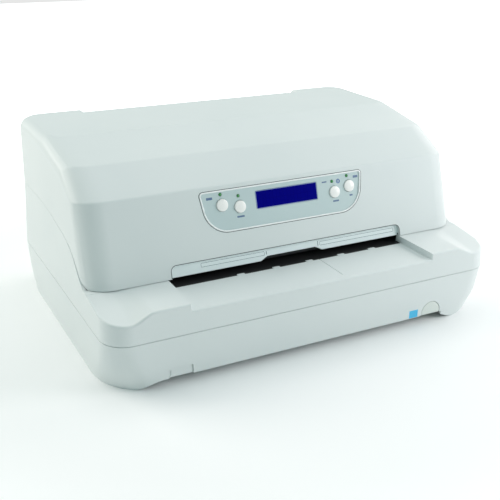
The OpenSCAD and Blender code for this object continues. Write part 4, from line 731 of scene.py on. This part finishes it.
# Black paint for the parts along the slot, dark enough to be the painted shade inside the slot too
black_paint_and_slot_shade = metal("black_paint_and_slot_shade", (0.020, 0.020, 0.021, 1), (0.012, 0.012, 0.013, 1), 0.5 * mm,
                    0.006 * mm, 0.42, 0.55)
black_paint_and_slot_shade.node_tree.nodes["Principled BSDF"].inputs["Metallic"].default_value = 0.0
for node, name in (("front_bar", "front_cross_bar"), ("lower_guide", "lower_guide_plate"),
                   ("upper_guide", "upper_guide_plate")):
    crisp_copy(node, name, black_paint_and_slot_shade, edge=0.15 * mm, segments=1)

# ---- Platen ------------------------------------------------------------------------------------
# The bar under the print line that the needles strike on. It is a black anodised aluminium
# extrusion with a channel along its underside, held between the two side plates.
anodised = metal("black_anodised", (0.055, 0.055, 0.058, 1), (0.030, 0.030, 0.032, 1), 0.4 * mm,
                 0.004 * mm, 0.35, 0.5)
crisp_copy("platen", "platen_bar", anodised, edge=0.2 * mm, segments=1)

# ---- Shafts, rail, pins and screws -------------------------------------------------------------
# Ground steel rods and a flat steel rail, with the screws that hold the frames and the pins that
# the cover swings on. All share one bright finish.
ground_steel = metal("ground_steel", (0.74, 0.74, 0.74, 1), (0.60, 0.60, 0.61, 1), 0.25 * mm,
                     0.002 * mm, 0.16, 0.27)
for node, name in (("front_feed_shaft", "front_feed_rod"), ("rear_feed_shaft", "rear_feed_rod"),
                   ("carriage_shaft", "carriage_rod"), ("carriage_rail", "carriage_flat_rail"),
                   ("hinge_pins", "cover_pins"), ("frame_screws", "frame_screw_set")):
    crisp_copy(node, name, ground_steel, edge=0.12 * mm, segments=1)

# ---- Feed tyres and pressure rollers -----------------------------------------------------------
# Tyres of dark rubber with grip grooves on the driven shafts, and plain rubber rollers that press
# the paper on them from above. The rollers sit on a thin steel axle, which shows between them.
tyre_rubber = rubber("tyre_rubber", (0.030, 0.030, 0.032, 1), (0.055, 0.055, 0.057, 1))
crisp_copy("front_feed_tyres", "front_tyre_set", tyre_rubber, edge=0.15 * mm, segments=1)
crisp_copy("rear_feed_tyres", "rear_tyre_set", tyre_rubber, edge=0.15 * mm, segments=1)

roller_axle_radius = 3.2 * mm


def rod_and_cover(name, axis, radius, cover, core):
    """Shows one colour inside a radius about an axis along X and another outside it."""
    material, tree, shader = node_material(name)
    from_axis = calculate_vector(tree, "SUBTRACT", object_place(tree), axis)
    flat = calculate_vector(tree, "MULTIPLY", from_axis, (0, 1, 1))
    outside = calculate(tree, "GREATER_THAN", calculate_vector(tree, "LENGTH", flat), radius)
    rough = new_node(tree, "MapRange", {"Value": outside, "To Min": 0.22, "To Max": 0.7})
    feed(tree, shader, {"Base Color": blend(tree, outside, core, cover),
                        "Roughness": rough.outputs["Result"],
                        "Metallic": calculate(tree, "SUBTRACT", 1.0, outside)})
    return material


for side in ("front", "rear"):
    node = f"{side}_pressure_roller"
    low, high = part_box(node)
    roller_finish = rod_and_cover(f"{side}_roller", (low + high) / 2, roller_axle_radius,
                                  (0.075, 0.074, 0.072, 1), (0.66, 0.66, 0.66, 1))
    crisp_copy(node, f"{side}_roller_set", roller_finish, edge=0.15 * mm, segments=1)

# ---- Bushes ------------------------------------------------------------------------------------
# Flanged bearings of sintered bronze that the feed shafts run in. They are pressed into the side
# plates from the inside, with the flange against the plate.
bronze = metal("sintered_bronze", (0.55, 0.36, 0.17, 1), (0.42, 0.26, 0.11, 1), 0.15 * mm,
               0.01 * mm, 0.4, 0.55)
crisp_copy("shaft_bushes", "bush_set", bronze, edge=0.15 * mm, segments=1)

# ---- Feed gears --------------------------------------------------------------------------------
# Four spur gears moulded in natural white acetal, driven by a brass pinion on the motor's shaft.
# Two sit on the ends of the feed shafts, and the two idlers turn on studs of the right side plate.
acetal = moulded_plastic("acetal", (0.80, 0.79, 0.75, 1), (0.77, 0.76, 0.72, 1), 0.3 * mm,
                         0.003 * mm, 0.28, 0.36)
acetal.node_tree.nodes["Principled BSDF"].inputs["Subsurface Weight"].default_value = 0.08
acetal.node_tree.nodes["Principled BSDF"].inputs["Subsurface Scale"].default_value = 1 * mm
for node, name in (("front_feed_gear", "front_gear"), ("rear_feed_gear", "rear_gear"),
                   ("front_idler_gear", "front_idler"), ("rear_idler_gear", "rear_idler")):
    crisp_copy(node, name, acetal, edge=0.08 * mm, segments=1)
brass = metal("brass", (0.72, 0.53, 0.22, 1), (0.60, 0.42, 0.16, 1), 0.2 * mm, 0.003 * mm,
              0.22, 0.34)
crisp_copy("motor_pinion", "brass_pinion", brass, edge=0.06 * mm, segments=1)

# ---- Motors ------------------------------------------------------------------------------------
# Two stepping motors: a stack of bare steel laminations held between two black end covers. The
# large one is screwed to the right side plate, and the small one to a bracket of the left one.
def motor_finish(name, middle, half_stack, axis):
    """Laminations within half_stack of the middle along an axis, and painted covers beyond."""
    material, tree, shader = node_material(name)
    place = object_place(tree)
    parts = new_node(tree, "SeparateXYZ", {"Vector": place})
    offset = calculate(tree, "SUBTRACT", parts.outputs[axis], middle)
    stack = calculate(tree, "LESS_THAN", calculate(tree, "ABSOLUTE", offset), half_stack)
    sheets = new_node(tree, "TexWave", {"Vector": place, "Scale": 340}, bands_direction=axis)
    steel = blend(tree, sheets.outputs["Fac"], (0.30, 0.30, 0.31, 1), (0.52, 0.52, 0.53, 1))
    feed(tree, shader, {"Base Color": blend(tree, stack, (0.025, 0.025, 0.026, 1), steel),
                        "Metallic": stack, "Roughness": 0.38})
    return material


feed_stack_middle, feed_half_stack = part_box("feed_motor")[0].x + 16.5 * mm, 10.5 * mm
feed_motor_finish = motor_finish("feed_motor_finish", feed_stack_middle, feed_half_stack, "X")
crisp_copy("feed_motor", "feed_stepper", feed_motor_finish, edge=0.3 * mm)
carriage_stack_middle, carriage_half_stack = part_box("carriage_motor")[1].y - 9.5 * mm, 3.5 * mm
carriage_motor_finish = motor_finish("carriage_motor_finish", carriage_stack_middle,
                                     carriage_half_stack, "Y")
crisp_copy("carriage_motor", "carriage_stepper", carriage_motor_finish, edge=0.3 * mm)

# ---- Carriage and print head -------------------------------------------------------------------
# The carriage is a moulding of black glass-filled plastic. It holds the head, a finned casting
# with a dark finish, whose nose guides the needles to the ribbon.
carriage_black = moulded_plastic("carriage_black", (0.022, 0.023, 0.025, 1),
                                 (0.014, 0.015, 0.016, 1), 0.25 * mm, 0.02 * mm, 0.42, 0.55)
crisp_copy("carriage", "carriage_body", carriage_black, edge=0.35 * mm)
head_cast = metal("head_casting", (0.070, 0.071, 0.074, 1), (0.040, 0.041, 0.043, 1), 0.5 * mm,
                  0.02 * mm, 0.42, 0.6)
crisp_copy("print_head", "finned_head", head_cast, edge=0.2 * mm, segments=1)

# ---- Belt drive --------------------------------------------------------------------------------
# A black rubber belt, left smooth, over two flanged aluminium pulleys, one on the small motor's
# shaft and one on a stud. The carriage is clamped above its upper run.
belt_rubber = rubber("belt_rubber", (0.016, 0.016, 0.017, 1), (0.030, 0.030, 0.030, 1))
crisp_copy("carriage_belt", "drive_belt", belt_rubber, edge=0.1 * mm, segments=1)
aluminium = metal("aluminium", (0.80, 0.81, 0.82, 1), (0.68, 0.69, 0.70, 1), 0.2 * mm,
                  0.003 * mm, 0.24, 0.36)
crisp_copy("drive_pulley", "drive_wheel", aluminium, edge=0.08 * mm, segments=1)
crisp_copy("return_pulley", "return_wheel", aluminium, edge=0.08 * mm, segments=1)

# ---- Ribbon cassette ---------------------------------------------------------------------------
# A closed case of glossy black plastic with two arms. Between them runs the inked fabric ribbon
# in front of the head, and a fluted knob on top takes up the slack by hand.
cassette_black = moulded_plastic("cassette_black", (0.024, 0.024, 0.026, 1),
                                 (0.018, 0.018, 0.020, 1), 0.5 * mm, 0.006 * mm, 0.22, 0.32,
                                 coat=0.2)
crisp_copy("ribbon_cassette", "cassette_case", cassette_black, edge=0.4 * mm)
knob_grey = moulded_plastic("knob_grey", (0.11, 0.12, 0.13, 1), (0.09, 0.10, 0.11, 1),
                            0.4 * mm, 0.006 * mm, 0.3, 0.4)
crisp_copy("ribbon_knob", "slack_knob", knob_grey, edge=0.3 * mm)

ribbon_weave, tree, shader = node_material("ribbon_weave")
weave = new_node(tree, "TexChecker", {"Vector": object_place(tree), "Scale": 4000,
                                      "Color1": (0.010, 0.010, 0.016, 1),
                                      "Color2": (0.018, 0.018, 0.026, 1)})
feed(tree, shader, {"Base Color": weave.outputs["Color"], "Roughness": 0.6})
crisp_copy("ribbon_band", "inked_ribbon", ribbon_weave, edge=0)

# ---- Line scanner ------------------------------------------------------------------------------
# A dark moulded bar above the slot that spans the side plates and reads the paper through a strip
# of glass on its underside. Bar and glass are one node and share one dark finish.
crisp_copy("scan_bar", "scanner_bar", carriage_black, edge=0.3 * mm)

# ---- Circuit boards ----------------------------------------------------------------------------
# The main board lies over the floor and the small one behind the panel. Both are green glass
# fibre with copper tracks under the lacquer, and carry black chips and connectors.
def circuit_board(name, place_of, tall):
    """Green lacquer with tracks up to a height, and black parts above it.

    place_of makes the socket with the place, Z out of the board, in a node tree. tall is the
    height of the board's face.
    """
    material, tree, shader = node_material(name)
    place = place_of(tree)
    parts = new_node(tree, "SeparateXYZ", {"Vector": place})
    tracks = new_node(tree, "TexBrick", {
        "Vector": place, "Scale": 1.0, "Brick Width": 11 * mm, "Row Height": 2.1 * mm,
        "Mortar Size": 0.35 * mm, "Color1": (0.008, 0.060, 0.026, 1),
        "Color2": (0.010, 0.072, 0.030, 1), "Mortar": (0.030, 0.140, 0.058, 1)})
    above = calculate(tree, "GREATER_THAN", parts.outputs["Z"], tall + 0.05 * mm)
    feed(tree, shader, {"Base Color": blend(tree, above, tracks.outputs["Color"],
                                            (0.016, 0.016, 0.017, 1)), "Roughness": 0.38})
    return material


main_board_face = 16.6 * mm
crisp_copy("main_board", "main_circuit", circuit_board("main_board_finish", object_place,
                                                       main_board_face), edge=0.1 * mm, segments=1)
panel_board_face = -10 * mm
crisp_copy("panel_board", "panel_circuit", circuit_board("panel_board_finish", place_on_facet,
                                                         panel_board_face), edge=0.1 * mm,
           segments=1)
crisp_copy("lcd_module", "display_module", carriage_black, edge=0.2 * mm, segments=1)

# ---- Power supply, switch and sockets ----------------------------------------------------------
# The power supply is a vented box of zinc-plated sheet. The mains inlet and the power switch are
# black plastic, and the rear sockets have plated steel shells.
crisp_copy("power_supply", "supply_box", zinc_sheet, edge=0.15 * mm, segments=1)
crisp_copy("mains_inlet", "inlet_socket", cassette_black, edge=0.2 * mm, segments=1)
crisp_copy("power_switch", "switch_body", carriage_black, edge=0.2 * mm, segments=1)
crisp_copy("data_ports", "socket_shells", ground_steel, edge=0.15 * mm, segments=1)

# ---- Finish ------------------------------------------------------------------------------------
# The picture's tones are shown as they are.
bpy.context.scene.view_settings.view_transform = "Standard"
